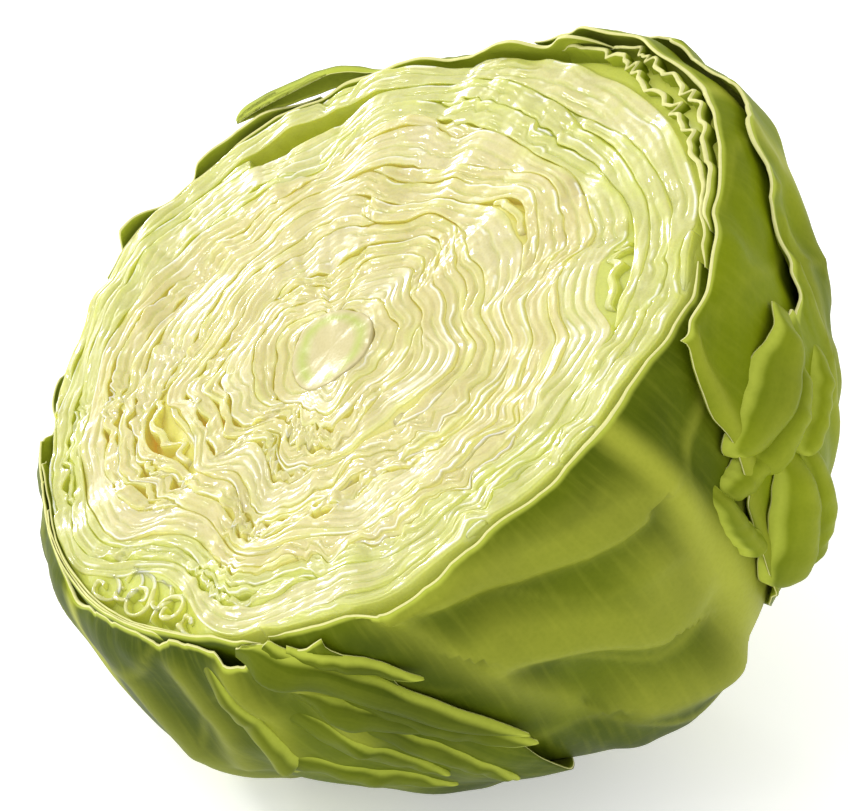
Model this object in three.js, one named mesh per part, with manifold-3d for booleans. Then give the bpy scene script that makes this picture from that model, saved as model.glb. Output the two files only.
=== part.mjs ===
// Half a head of white cabbage, cut across and lying on its flank, in millimetres.
//
// The head is a cone of pithy core with cupped leaves packed round it, and looser green wrapper
// leaves over those. It was cut across a little above its widest place, and this is the half
// with the stem. It lies tipped over, on a small flat spot that its weight presses into its flank.
//
// World frame: +Z up, with the origin at the centre of the flat spot.
// Head frame: the origin is the centre of the cut face, +z points out of the cut face, +x points
// to the side of the face that hangs lowest, and the stem is at -z.
//
// Every leaf is a shell between two distances from the centre of the cut face. A direction is
// given in degrees by theta, the angle round the face, and beta, the angle down below it, and a
// distance by share, which is 0 at that centre and 1 on the skin of the round head.
import * as THREE from "three";
import Module from "manifold-3d";
import { mergeVertices } from "three/addons/utils/BufferGeometryUtils.js";

// The head
const HEAD_RADIUS = 94;
const CUT_HEIGHT = 22.5; // from the centre of the round head up to the cut
const LEAN = 32.71; // degrees between the cut face and level
const LEAN_TOWARDS = 199.355; // degrees round +Z, the way that the cut face looks
const FACE_HEIGHT = 107.0; // of the middle of the cut face above the floor
const PRESS_REACH = 35; // how deep in the flank its flattening by the weight is felt
const ROUNDNESS = 0.955; // mean size of the cut section beside a round one
const LOBES = [ // waves of that section: how many round the head, how high, and where the top is
  { count: 1, height: 0.027, at: -6 },
  { count: 2, height: 0.028, at: -43 },
  { count: 3, height: 0.024, at: 35 },
];

// The core
const CORE_AT_CUT = 7.5; // radius
const CORE_AT_BASE = 13;
const STUMP_LENGTH = 2; // how far the stump stands out below the round head
const CORE_OFFSET = { x: 9.5, y: 1.6 }; // the core's place on the cut face
const CORE_SIDES = 14;
const CLEARANCE = 0.4; // between the core and the leaves that grow from it

// The packed leaves, from the heart outwards
const HEAD_LEAVES = 15;
const HEART_SHARE = 0.12; // where the first leaf begins
const PACKED_SHARE = 0.93; // where the last one ends
const LEAF_GAP = 0.45;
const GOLDEN_ANGLE = 137.5; // from one leaf's midrib to the next leaf's
const LAST_MIDRIB = 190; // where the outermost packed leaf has its midrib
const HALF_SPANS = [165, 132]; // from the midrib to the margin, on the first and the last leaf
const MARGIN_SLOT = 2; // room that a leaf takes at its margin
const BLADE_SLOT = 2; // and what it takes beyond that at the middle of its blade
const RIB_SLOT = 3; // and beyond that at its midrib
const COLUMN_STEP = 12; // degrees
const ROWS = [0, 14, 33, 54, 72, 86]; // degrees below the cut
const POCKETS = [ // wide gaps between two packed leaves
  { outside: 5, at: 346, width: 26, depth: 7 },
  { outside: 11, at: 144, width: 15, depth: 7 },
  { outside: 6, at: 179, width: 16, depth: 4 },
  { outside: 13, at: 24, width: 18, depth: 6 },
  { outside: 13, at: 262, width: 24, depth: 5 },
  { outside: 3, at: 95, width: 22, depth: 3 },
];

// The wrapper leaves, from the inner ones outwards. Each reaches from one side line to another,
// which are lists of [beta, theta] points. Its top edge is a list of [theta, beta] points: beta 0
// is cut through with the head, and more is the leaf's own ragged margin, which flares in ripples.
const WRAPPER_GAP = 1.1;
const WRAPPER_BLADE = 1.5; // thickness
const WRAPPER_RIB = 3.4; // what the midrib adds to it
const WRAPPERS = [
  { from: [[0, 52]], to: [[0, 142]], midrib: 112, ripple: 0, columns: 14, top: [[0, 0]] },
  { from: [[0, 196]], to: [[0, 302]], midrib: 248, ripple: 0, columns: 15, top: [[0, 0]] },
  { from: [[0, 128], [13, 123], [41, 116]], to: [[0, 214]], midrib: 176, ripple: 0, columns: 14,
    top: [[0, 0]] },
  { from: [[0, 258]], to: [[0, 332]], midrib: 300, ripple: 0, columns: 12,
    top: [[258, 3], [268, 0], [322, 1], [332, 5]] },
  { from: [[12, 142], [22, 134], [27, 126], [50, 127]], to: [[0, 206]], midrib: 168, ripple: 3,
    columns: 17, top: [[142, 12], [149, 17], [158, 9], [170, 3], [206, 1]] },
  { from: [[10, -46], [40, -52]], to: [[2, 60], [14, 65], [36, 72], [60, 74]], midrib: 6,
    ripple: 3.2, columns: 25, top: [[-46, 9], [-34, 3], [-22, 2], [-8, 4], [3, 7], [10, 10],
      [20, 5], [35, 2.5], [46, 4.5], [60, 2]] },
];
const WRAPPER_ROWS = [0, 0.06, 0.15, 0.28, 0.42, 0.56, 0.7, 0.85, 1]; // margin to base
const BASE_BETA = 86;
const BASE_WIDTH = 0.7; // of a wrapper leaf's span, where it clasps the stump

const { degToRad: rad, lerp, smoothstep, clamp, euclideanModulo } = THREE.MathUtils;
const wasm = await Module();
wasm.setup();

// The frame of the head in the world.
const head = new THREE.Group();
head.rotation.set(0, rad(LEAN), rad(LEAN_TOWARDS - 360), "ZYX");
const centre = new THREE.Vector3(0, 0, CUT_HEIGHT).applyEuler(head.rotation);
head.position.set(centre.x, centre.y, FACE_HEIGHT);
head.updateMatrixWorld(true);
const toWorld = head.matrixWorld.clone();
const toHead = toWorld.clone().invert();

/** The angle from one theta to another the short way round, from -180 to 180 degrees. */
function turn(from, to) {
  return euclideanModulo(to - from + 180, 360) - 180;
}

/** A smooth bump that is 1 at 0 and 0 from one width on. */
function bump(x, width) {
  return 1 - smoothstep(Math.abs(x), 0, width);
}

/** Distance from the centre of the cut face to the skin of the round head, in one direction. */
function skinDistance(theta, beta) {
  const across = CUT_HEIGHT * Math.cos(rad(beta));
  const round = CUT_HEIGHT * Math.sin(rad(beta)) + Math.sqrt(HEAD_RADIUS ** 2 - across ** 2);
  const fade = 1 - smoothstep(beta, 6, 55);
  let shape = ROUNDNESS - 1;
  for (const lobe of LOBES) {
    shape += lobe.height * Math.cos(lobe.count * rad(theta - lobe.at));
  }
  return round * (1 + fade * shape);
}

/** Distance along a direction per share, for thicknesses that are given in millimetres. */
function shares(length, theta, beta) {
  return length / skinDistance(theta, beta);
}

/** The value of a smooth line through a list of [x, value] points, level past both ends. */
function along(points, x) {
  const i = points.findIndex(([at]) => at > x);
  if (i === 0) return points[0][1];
  if (i < 0) return points[points.length - 1][1];
  const [start, low] = points[i - 1];
  const [end, high] = points[i];
  return lerp(low, high, smoothstep(x, start, end));
}

/** The theta of a direction, written so that it lies within half a turn of a leaf's midrib. */
function near(leaf, theta) {
  return leaf.midrib + turn(leaf.midrib, theta);
}

/** How far a wrapper leaf lifts what lies over it: 1 over the leaf, and 0 a little beside it. */
function presence(leaf, theta, beta) {
  const x = near(leaf, theta);
  const inside = Math.min(x - along(leaf.from, beta), along(leaf.to, beta) - x);
  return smoothstep(inside, -11, -3) * smoothstep(beta - along(leaf.top, x), -10, -3);
}

/** Thickness of a wrapper leaf: a blade with a midrib that swells towards the stump. */
function wrapperThickness(leaf, theta, beta) {
  const x = near(leaf, theta);
  const ribWidth = lerp(9, 30, smoothstep(beta, 15, 75));
  const swell = lerp(0.25, 1, smoothstep(beta, 5, 45)) * lerp(1, 0.5, smoothstep(beta, 60, 84));
  return WRAPPER_BLADE + WRAPPER_RIB * swell * bump(x - leaf.midrib, ribWidth);
}

/** The outside of the head as a share, once its first wrapper leaves are on. */
function wrapped(count, theta, beta) {
  let share = PACKED_SHARE;
  for (const leaf of WRAPPERS.slice(0, count)) {
    const room = WRAPPER_GAP + wrapperThickness(leaf, theta, beta);
    share += presence(leaf, theta, beta) * shares(room, theta, beta);
  }
  return share;
}

/** The point at a share of the skin distance, where inner layers shift sideways with the core. */
function unpressed(share, theta, beta, lift) {
  const [t, b] = [rad(theta), rad(beta)];
  const far = share * skinDistance(theta, beta);
  const shift = Math.max(0, 1 - share) * (1 + share * Math.cos(b));
  return new THREE.Vector3(
    Math.cos(b) * Math.cos(t) * far + CORE_OFFSET.x * shift,
    Math.cos(b) * Math.sin(t) * far + CORE_OFFSET.y * shift,
    -Math.sin(b) * far + lift,
  );
}

/** That point once the head lies on its flank: skin that would pass the floor is pushed up to it. */
function place(share, theta, beta, lift = 0) {
  const point = unpressed(share, theta, beta, lift).applyMatrix4(toWorld);
  const skin = wrapped(WRAPPERS.length, theta, beta);
  const low = unpressed(skin, theta, beta, 0).applyMatrix4(toWorld).z;
  if (low < 0) {
    const felt = 1 - smoothstep(point.z - low, 0, PRESS_REACH);
    point.z = Math.max(0, point.z - low * felt);
  }
  return point.applyMatrix4(toHead);
}

/** The waves of the packed leaves, which move every leaf in and out with its neighbours. */
function undulate(share, theta) {
  const room = Math.max(0, 4 * share * (PACKED_SHARE - share));
  const slow = 0.014 * Math.sin(rad(5 * theta) + 9 * share);
  const quick = 0.008 * Math.sin(rad(9 * theta) - 14 * share);
  return share + room * (slow + quick);
}

/**
 * A closed leaf from two grids of points of the same size, its outer and its inner face.
 * Rows run from the top edge down and columns run round the head. Both faces are split alike.
 */
function leafGeometry(outer, inner) {
  const rows = outer.length;
  const columns = outer[0].length;
  const at = (face, row, column) => (face * rows + row) * columns + column;
  const index = [];
  const quad = (a, b, c, d) => index.push(a, b, c, a, c, d);
  for (let r = 0; r < rows - 1; r++) {
    for (let c = 0; c < columns - 1; c++) {
      quad(at(0, r, c), at(0, r + 1, c), at(0, r + 1, c + 1), at(0, r, c + 1));
      index.push(at(1, r, c), at(1, r + 1, c + 1), at(1, r + 1, c));
      index.push(at(1, r, c), at(1, r, c + 1), at(1, r + 1, c + 1));
    }
  }
  const [bottom, last] = [rows - 1, columns - 1];
  for (let c = 0; c < last; c++) {
    quad(at(0, 0, c), at(0, 0, c + 1), at(1, 0, c + 1), at(1, 0, c));
    quad(at(0, bottom, c + 1), at(0, bottom, c), at(1, bottom, c), at(1, bottom, c + 1));
  }
  for (let r = 0; r < bottom; r++) {
    quad(at(0, r + 1, 0), at(0, r, 0), at(1, r, 0), at(1, r + 1, 0));
    quad(at(0, r, last), at(0, r + 1, last), at(1, r + 1, last), at(1, r, last));
  }
  const geometry = new THREE.BufferGeometry();
  geometry.setFromPoints([...outer.flat(), ...inner.flat()]);
  geometry.setIndex(index);
  return geometry;
}

/** A closed geometry as a solid that can be cut. */
function solidOf(geometry) {
  const bare = geometry.clone();
  bare.deleteAttribute("normal");
  bare.deleteAttribute("uv");
  const merged = mergeVertices(bare, 1e-4);
  const vertProperties = Float32Array.from(merged.attributes.position.array);
  const triVerts = Uint32Array.from(merged.index.array);
  return new wasm.Manifold(new wasm.Mesh({ numProp: 3, vertProperties, triVerts }));
}

/** A solid as a geometry again: its largest body, without the crumbs that a cut can leave. */
function geometryOf(solid) {
  const [body] = solid.decompose().sort((a, b) => b.volume() - a.volume());
  const mesh = body.getMesh();
  const geometry = new THREE.BufferGeometry();
  geometry.setAttribute("position", new THREE.BufferAttribute(mesh.vertProperties, 3));
  geometry.setIndex(new THREE.BufferAttribute(mesh.triVerts, 1));
  return geometry;
}

/**
 * The core as a lathed cone from the cut face to the end of the stump, leaning so that its top
 * lies off the middle of the face. With room it is that much fatter, and longer at both ends.
 */
function coreGeometry(room) {
  const end = CUT_HEIGHT + HEAD_RADIUS + STUMP_LENGTH;
  const profile = [];
  for (const depth of [0, 14, 34, 58, 84, 106, end - 1.2, end]) {
    const along = depth / end;
    const chamfer = depth === end ? 1.2 : 0;
    const radius = lerp(CORE_AT_CUT, CORE_AT_BASE, along ** 0.8) - chamfer + room;
    const past = depth === 0 ? 20 * Math.sign(room) : depth === end ? -room : 0;
    profile.unshift(new THREE.Vector2(radius, past - depth));
  }
  profile.unshift(new THREE.Vector2(0, profile[0].y));
  profile.push(new THREE.Vector2(0, profile[profile.length - 1].y));
  const geometry = new THREE.LatheGeometry(profile, CORE_SIDES).rotateX(Math.PI / 2);
  const position = geometry.attributes.position;
  for (let i = 0; i < position.count; i++) {
    const shift = clamp(1 + position.getZ(i) / (CUT_HEIGHT + HEAD_RADIUS), 0, 1);
    position.setX(i, position.getX(i) + CORE_OFFSET.x * shift);
    position.setY(i, position.getY(i) + CORE_OFFSET.y * shift);
  }
  return geometry;
}
const coreRoom = solidOf(coreGeometry(CLEARANCE));

/** One packed leaf's midrib and half span, in degrees. */
function packedLeaf(k) {
  const midrib = LAST_MIDRIB - GOLDEN_ANGLE * (HEAD_LEAVES - 1 - k);
  return { midrib, half: lerp(...HALF_SPANS, k / (HEAD_LEAVES - 1)) };
}

/** Room that a packed leaf takes at one theta, against what its neighbours take there. */
function slot(k, theta) {
  const { midrib, half } = packedLeaf(k);
  const off = Math.abs(turn(midrib, theta));
  if (off > half) return 0;
  const blade = smoothstep(half - off, 0, 45);
  return MARGIN_SLOT + BLADE_SLOT * blade + RIB_SLOT * bump(off, 40);
}

/** Room that the pockets outside a packed leaf take at one theta. */
function pocket(k, theta) {
  const here = POCKETS.filter((p) => p.outside === k);
  return here.reduce((sum, p) => sum + p.depth * bump(turn(p.at, theta), p.width), 0);
}

/** The inner and outer share of each packed leaf at one theta, stacked from the heart outwards. */
function stack(theta) {
  const slots = Array.from({ length: HEAD_LEAVES }, (_, k) => slot(k, theta));
  const pockets = slots.map((_, k) => pocket(k, theta));
  const total = [...slots, ...pockets].reduce((sum, room) => sum + room, 0);
  const unit = (PACKED_SHARE - HEART_SHARE) / total;
  let reached = HEART_SHARE;
  return slots.map((room, k) => {
    const inner = undulate(reached, theta);
    const outer = undulate(reached + room * unit, theta) - LEAF_GAP / HEAD_RADIUS;
    reached += (room + pockets[k]) * unit;
    return { inner, outer };
  });
}
const COLUMNS = Math.round(360 / COLUMN_STEP);
const stacks = Array.from({ length: COLUMNS }, (_, c) => stack(c * COLUMN_STEP));

/** How far below the cut plane a packed leaf's top edge has sprung or been torn. */
function edgeDrop(k, share, theta) {
  return -0.7 * Math.min(1, 2.5 * share) * (1 + Math.sin(rad(3 * theta) + 2.4 * k));
}

/** A packed leaf, cut through at the face and grown on to the core at its base. */
function packedGeometry(k) {
  const { midrib, half } = packedLeaf(k);
  const first = Math.ceil((midrib - half) / COLUMN_STEP);
  const last = Math.floor((midrib + half) / COLUMN_STEP);
  const face = (side) => ROWS.map((beta, row) => {
    const points = [];
    for (let c = first; c <= last; c++) {
      const theta = c * COLUMN_STEP;
      const share = stacks[euclideanModulo(c, COLUMNS)][k][side];
      points.push(place(share, theta, beta, row === 0 ? edgeDrop(k, share, theta) : 0));
    }
    return points;
  });
  return geometryOf(solidOf(leafGeometry(face("outer"), face("inner"))).subtract(coreRoom));
}

/** A wrapper leaf, draped over the packed head and the wrapper leaves beneath it. */
function wrapperGeometry(i) {
  const leaf = WRAPPERS[i];
  const face = (outer) => WRAPPER_ROWS.map((v) => {
    const points = [];
    for (let c = 0; c < leaf.columns; c++) {
      const u = c / (leaf.columns - 1);
      const top = along(leaf.top, lerp(along(leaf.from, 0), along(leaf.to, 0), u));
      const beta = lerp(top, BASE_BETA, v);
      const spread = lerp(along(leaf.from, beta), along(leaf.to, beta), u);
      const theta = lerp(spread, leaf.midrib, (1 - BASE_WIDTH) * smoothstep(v, 0.5, 1));
      const below = wrapped(i, theta, beta) + shares(WRAPPER_GAP, theta, beta);
      const wave = Math.exp(-v * 9) * (1 + Math.sin(rad(spread) * 17 + i)) / 2;
      const free = smoothstep(beta, 1, 4);
      const flare = leaf.ripple * wave * free;
      const blade = outer ? wrapperThickness(leaf, theta, beta) : 0;
      points.push(place(below + shares(flare + blade, theta, beta), theta, beta));
    }
    return points;
  });
  return geometryOf(solidOf(leafGeometry(face(true), face(false))).subtract(coreRoom));
}

const pith = new THREE.MeshStandardMaterial({ color: 0xeeedc4, roughness: 0.55 });
const greenWax = new THREE.MeshStandardMaterial({ color: 0x9db65c, roughness: 0.5 });

/** The finish of a packed leaf: cream at the heart and greener outwards. */
function bladeMaterial(k) {
  const color = new THREE.Color(0xe9e6a4).lerp(new THREE.Color(0xc3d081), k / (HEAD_LEAVES - 1));
  return new THREE.MeshStandardMaterial({ color, roughness: 0.5 });
}

/** Adds a named piece to the head. */
function add(name, geometry, material) {
  const mesh = new THREE.Mesh(geometry, material);
  mesh.name = name;
  head.add(mesh);
}

add("core", geometryOf(solidOf(coreGeometry(0))), pith);
for (let k = 0; k < HEAD_LEAVES; k++) {
  add(`head_leaf_${String(k + 1).padStart(2, "0")}`, packedGeometry(k), bladeMaterial(k));
}
for (let i = 0; i < WRAPPERS.length; i++) {
  add(`wrapper_leaf_${i + 1}`, wrapperGeometry(i), greenWax);
}

const cabbage = new THREE.Group();
cabbage.add(head);

export default cabbage;
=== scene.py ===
"""Looks of half a white cabbage head, cut across, lying on its flank on a pale floor.

Lengths in the code are millimetres in the head's frame until a mesh is made, which is in metres
in the world. In the head's frame the origin is the middle of the cut face, +z points out of that
face, +x to the side that hangs lowest, and the stem is at -z. A place is given by a share of the
way from that origin to the skin of the round head, by theta, the angle round the face, and by
beta, the angle down below it, both in degrees.
"""

from __future__ import annotations

import logging
import math
from dataclasses import dataclass, field, replace
from enum import Enum

import bpy
import numpy as np
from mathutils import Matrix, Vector

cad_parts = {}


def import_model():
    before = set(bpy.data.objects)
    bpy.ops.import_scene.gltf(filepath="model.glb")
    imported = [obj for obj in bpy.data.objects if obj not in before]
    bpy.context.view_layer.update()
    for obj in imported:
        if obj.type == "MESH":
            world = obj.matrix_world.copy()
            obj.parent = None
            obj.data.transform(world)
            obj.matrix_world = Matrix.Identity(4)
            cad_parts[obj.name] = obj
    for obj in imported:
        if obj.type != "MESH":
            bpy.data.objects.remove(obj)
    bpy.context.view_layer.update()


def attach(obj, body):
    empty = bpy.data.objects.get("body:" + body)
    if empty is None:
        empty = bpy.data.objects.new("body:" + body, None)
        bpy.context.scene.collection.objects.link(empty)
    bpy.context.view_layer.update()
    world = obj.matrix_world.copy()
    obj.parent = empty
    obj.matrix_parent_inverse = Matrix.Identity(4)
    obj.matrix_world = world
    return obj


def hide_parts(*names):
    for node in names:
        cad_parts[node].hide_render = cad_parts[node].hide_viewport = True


Array = np.ndarray
Number = Array | float
Line = tuple[tuple[float, float], ...]
Colour = tuple[float, float, float]
Socket = bpy.types.NodeSocket
Look = tuple[Socket, dict[str, object]]
LOG = logging.getLogger("cabbage")
METRES = 0.001


class Slot(Enum):
    """Names of the materials' slots."""

    PITH = "pith"
    HEART = "heart_leaf"
    HEAD = "head_leaf"
    OUTER = "outer_leaf"
    WRAPPER = "wrapper_leaf"


# Shapes as functions


def smooth(x: Number, low: float, high: float) -> Array:
    """A smooth step: 0 below low, 1 above high, and an S curve of 3t^2 - 2t^3 between them."""
    t = np.clip((np.asarray(x, float) - low) / (high - low), 0, 1)
    return t * t * (3 - 2 * t)


def bump(x: Number, width: Number) -> Array:
    """A smooth bump that is 1 at 0 and 0 from one width on, either way."""
    return 1 - smooth(np.abs(x) / width, 0, 1)


def mix(a: Number, b: Number, t: Number) -> Array:
    """The straight mix of a and b, a at t = 0 and b at t = 1."""
    return a + (b - a) * t


def turn(start: Number, end: Number) -> Array:
    """The angle from start to end the short way round, from -180 to 180 degrees."""
    return (np.asarray(end, float) - start + 180) % 360 - 180


def along(points: Line, x: Array) -> Array:
    """The value of a smooth line through (x, value) points, level past both ends.

    Args:
        points: The places and values that the line goes through, in order of x.
        x: Where to read it.

    Returns:
        One value for each x.
    """
    value = np.full(np.shape(x), points[0][1], float)
    for (start, low), (end, high) in zip(points, points[1:]):
        value = value + (high - low) * smooth(x, start, end)
    return value


def waves(x: Array, seed: int, length: float, y: Number = 0.0) -> Array:
    """A smooth random line: a sum of six sines whose lengths lie round the given one.

    Args:
        x: Distance along the leaf.
        seed: Picks the line.
        length: The middle wavelength, in the unit of x.
        y: Distance across or down the leaf, which shifts the sines slowly.

    Returns:
        The line, mostly between -1 and 1.
    """
    rng = np.random.default_rng(seed)
    total = np.zeros(np.broadcast(x, y).shape)
    for stretch in np.geomspace(0.55, 1.9, 6):
        turns = 2 * math.pi / (length * stretch * rng.uniform(0.85, 1.15))
        slant, phase = rng.uniform(-0.6, 0.6), rng.uniform(0, 2 * math.pi)
        total = total + np.sin(turns * (x + slant * y) + phase)
    return total / math.sqrt(6)


def cloud(x: Array, y: Array, seed: int, length: float) -> Array:
    """A smooth random field: a sum of ten sines that run in all directions.

    Args:
        x: One coordinate.
        y: The other coordinate.
        seed: Picks the field.
        length: The middle wavelength.

    Returns:
        The field, mostly between -1 and 1.
    """
    rng = np.random.default_rng(seed)
    total = np.zeros(np.broadcast(x, y).shape)
    for stretch in np.geomspace(0.65, 1.6, 10):
        turns, way = 2 * math.pi / (length * stretch), rng.uniform(0, 2 * math.pi)
        run = x * math.cos(way) + y * math.sin(way)
        total = total + np.sin(turns * run + rng.uniform(0, 2 * math.pi))
    return total / math.sqrt(10)


@dataclass(frozen=True)
class Lobe:
    """A wave of the cut section: how many round the head, how high, and where its top is."""

    count: int
    height: float
    at: float


@dataclass(frozen=True)
class Swell:
    """A place where the head, or only its loose leaves, stands out or in, in millimetres."""

    theta: float
    beta: float
    wide: float
    high: float
    rise: float

    def at(self, theta: Array, beta: Array) -> Array:
        """The rise at a place: a smooth bump both ways."""
        return self.rise * bump(turn(self.theta, theta), self.wide) * bump(beta - self.beta, self.high)


@dataclass(frozen=True)
class Ridge:
    """A crease in a wrapper leaf: a line of (theta, beta) places that stands out.

    Attributes:
        line: The places that the line joins.
        height: How far it stands out, in millimetres.
        above: How far it fades out on its upper side, in millimetres.
        below: The same on its lower side.
    """

    line: Line
    height: float
    above: float
    below: float

    def at(self, theta: Array, beta: Array, radius: float) -> Array:
        """The rise near the line: a bell curve of the distance from it, unlike on its sides.

        Args:
            theta: Angle round the head.
            beta: Angle below the cut.
            radius: The head's radius, which turns angles into millimetres.

        Returns:
            The rise in millimetres.
        """
        scale = math.radians(radius)
        x, y = theta * scale * np.cos(np.radians(beta)), beta * scale
        rise = np.zeros(np.broadcast(theta, beta).shape)
        for (t0, b0), (t1, b1) in zip(self.line, self.line[1:]):
            x0, y0 = t0 * scale * np.cos(np.radians(beta)), b0 * scale
            dx, dy = (t1 - t0) * scale * math.cos(math.radians((b0 + b1) / 2)), (b1 - b0) * scale
            t = np.clip(((x - x0) * dx + (y - y0) * dy) / (dx**2 + dy**2), 0, 1)
            gap_x, gap_y = x - x0 - t * dx, y - y0 - t * dy
            side = dx * gap_y - dy * gap_x
            width = np.where(side > 0, self.below, self.above)
            rise = np.maximum(rise, np.exp(-(gap_x**2 + gap_y**2) / width**2))
        return self.height * rise


@dataclass(frozen=True)
class Tongue:
    """A finger-like lobe of a torn or pleated margin, which lies over the head.

    Attributes:
        line: Theta, beta and rise over the leaf, at its root, its middle and its tip.
        width: Its greatest width, in millimetres.
        arch: How far its middle stands over its sides, in millimetres.
        thick: Its thickness, in millimetres.
        pointed: Whether it narrows to a point, or ends in a half circle.
    """

    line: tuple[tuple[float, float, float], ...]
    width: float
    arch: float = 2.7
    thick: float = 0.9
    pointed: bool = False


@dataclass(frozen=True)
class Pocket:
    """A wide gap outside one packed leaf, and how much of it a folded blade fills."""

    outside: int
    at: float
    width: float
    depth: float
    filled: float


@dataclass(frozen=True)
class Curl:
    """A rolled margin in the pocket outside a packed leaf, cut through like a scroll.

    Attributes:
        outside: The leaf, counted from the heart.
        at: Theta of its middle.
        size: Its outer radius, in millimetres.
        turns: How often it winds round.
        start: The angle at which it starts, at its middle.
        off: How far its middle lies outside the middle of the pocket, in millimetres.
    """

    outside: int
    at: float
    size: float
    turns: float
    start: float
    off: float = 0.0


@dataclass(frozen=True)
class WrapperPlan:
    """Where a wrapper leaf lies, in degrees.

    Attributes:
        start: Its first side, as (beta, theta) places.
        end: Its last side, in the same way.
        midrib: Theta of its midrib.
        top: Its top edge, as (theta, beta) places.
        ripple: How far its torn margin ripples, in millimetres, or 0 for a cut one.
        ridges: Its creases.
        tongues: Its lobes.
        plies: Folds of its inner margin, with their first and last theta, where they start and
            how much they take of the gap under the leaf, and their wavelength.
    """

    start: Line
    end: Line
    midrib: float
    top: Line
    ripple: float = 0.0
    ridges: tuple[Ridge, ...] = ()
    tongues: tuple[Tongue, ...] = ()
    plies: tuple[tuple[float, float, float, float, float], ...] = ()

    def near(self, theta: Array) -> Array:
        """Theta written so that it lies within half a turn of the midrib."""
        return self.midrib + turn(self.midrib, theta)

    def presence(self, theta: Array, beta: Array) -> Array:
        """How far the leaf lifts what lies over it: 1 over the leaf, 0 a little beside it."""
        x = self.near(theta)
        inside = np.minimum(x - along(self.start, beta), along(self.end, beta) - x)
        return smooth(inside, -11, -3) * smooth(beta - along(self.top, x), -10, -3)

    def rib(self, theta: Array, beta: Array) -> Array:
        """The midrib's swelling, from 0 on the blade to 1 at its thickest."""
        width = mix(9, 30, smooth(beta, 15, 75))
        swell = mix(0.25, 1, smooth(beta, 5, 45)) * mix(1, 0.5, smooth(beta, 60, 84))
        return swell * bump(self.near(theta) - self.midrib, width)


POCKETS = (
    Pocket(5, 346, 26, 7, 0.45),
    Pocket(11, 144, 15, 7, 0.3),
    Pocket(6, 179, 16, 4, 0.5),
    Pocket(13, 24, 21, 12, 0.0),
    Pocket(13, 262, 24, 5, 1.0),
    Pocket(3, 95, 22, 2, 0.2),
)
CURLS = (
    Curl(13, 12.5, 4.8, 1.1, 170, 0.6),
    Curl(13, 17.0, 5.6, 0.9, 250, -0.8),
    Curl(13, 21.5, 6.6, 1.6, 60, 0.2),
    Curl(13, 26.5, 5.4, 0.8, 330, -1.2),
    Curl(13, 30.5, 5.6, 1.3, 250, 0.2),
    Curl(13, 36.0, 3.4, 0.9, 120, 0.2),
)
LOOSE_SWELLS = (
    Swell(176, 6, 32, 24, 7.5),
    Swell(194, 0, 22, 12, 3.0),
    Swell(8, 23, 38, 27, 7.0),
    Swell(26, 30, 30, 22, 3.0),
)
FINGERS = (
    Tongue(((143, 14, 0), (133, 15.7, 3.5), (122, 19, 2.5)), 10),
    Tongue(((140, 19, 0), (131, 21.7, 3.0), (123, 23.5, 2.0)), 8.5),
    Tongue(((129, 21, 0), (123, 23.7, 2.5), (118, 23.2, 1.0)), 7),
    Tongue(((130, 25, 0), (125, 33.2, 4.0), (117, 41, 2.5)), 10),
    Tongue(((145, 21, 0), (138, 26, 2.5), (130, 27.5, 1.5)), 7),
    Tongue(((133, 26, 0), (129, 36, 3.0), (126, 46, 1.5)), 8),
    Tongue(((118, 19, 0), (116, 26, 2.0), (117, 33, 1.0)), 5.5),
)
STRAPS = (
    Tongue(((47, 0.5, 1), (60, 8, 3.4), (74, 33, 2.0)), 11, 2.2, 0.9, True),
    Tongue(((51, 1, 1), (58, 11, 3.4), (67, 18.5, 2.0)), 9, 1.6, 0.8, True),
    Tongue(((50, 8, 1), (58, 21, 3.0), (69, 24.5, 2.0)), 9, 1.6, 0.8, True),
    Tongue(((47, 12, 1), (55, 28, 2.5), (59, 35, 2.0)), 9, 1.6, 0.8, True),
    Tongue(((56, 12, 1), (67, 25, 2.6), (74, 35, 1.4)), 8, 1.4, 0.8, True),
    Tongue(((56, 18, 1), (65, 33, 2.6), (66, 41.5, 1.5)), 8, 1.4, 0.8, True),
    Tongue(((54, 3, 1), (62, 8, 2.4), (69, 14.5, 1.2)), 6, 1.2, 0.8, True),
    Tongue(((40, 18, 1), (50, 34, 2.0), (55, 42, 1.5)), 9, 1.6, 0.8, True),
    Tongue(((38, 3, 0), (44, 12, 3.0), (41, 23, 1.0)), 7),
)
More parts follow.
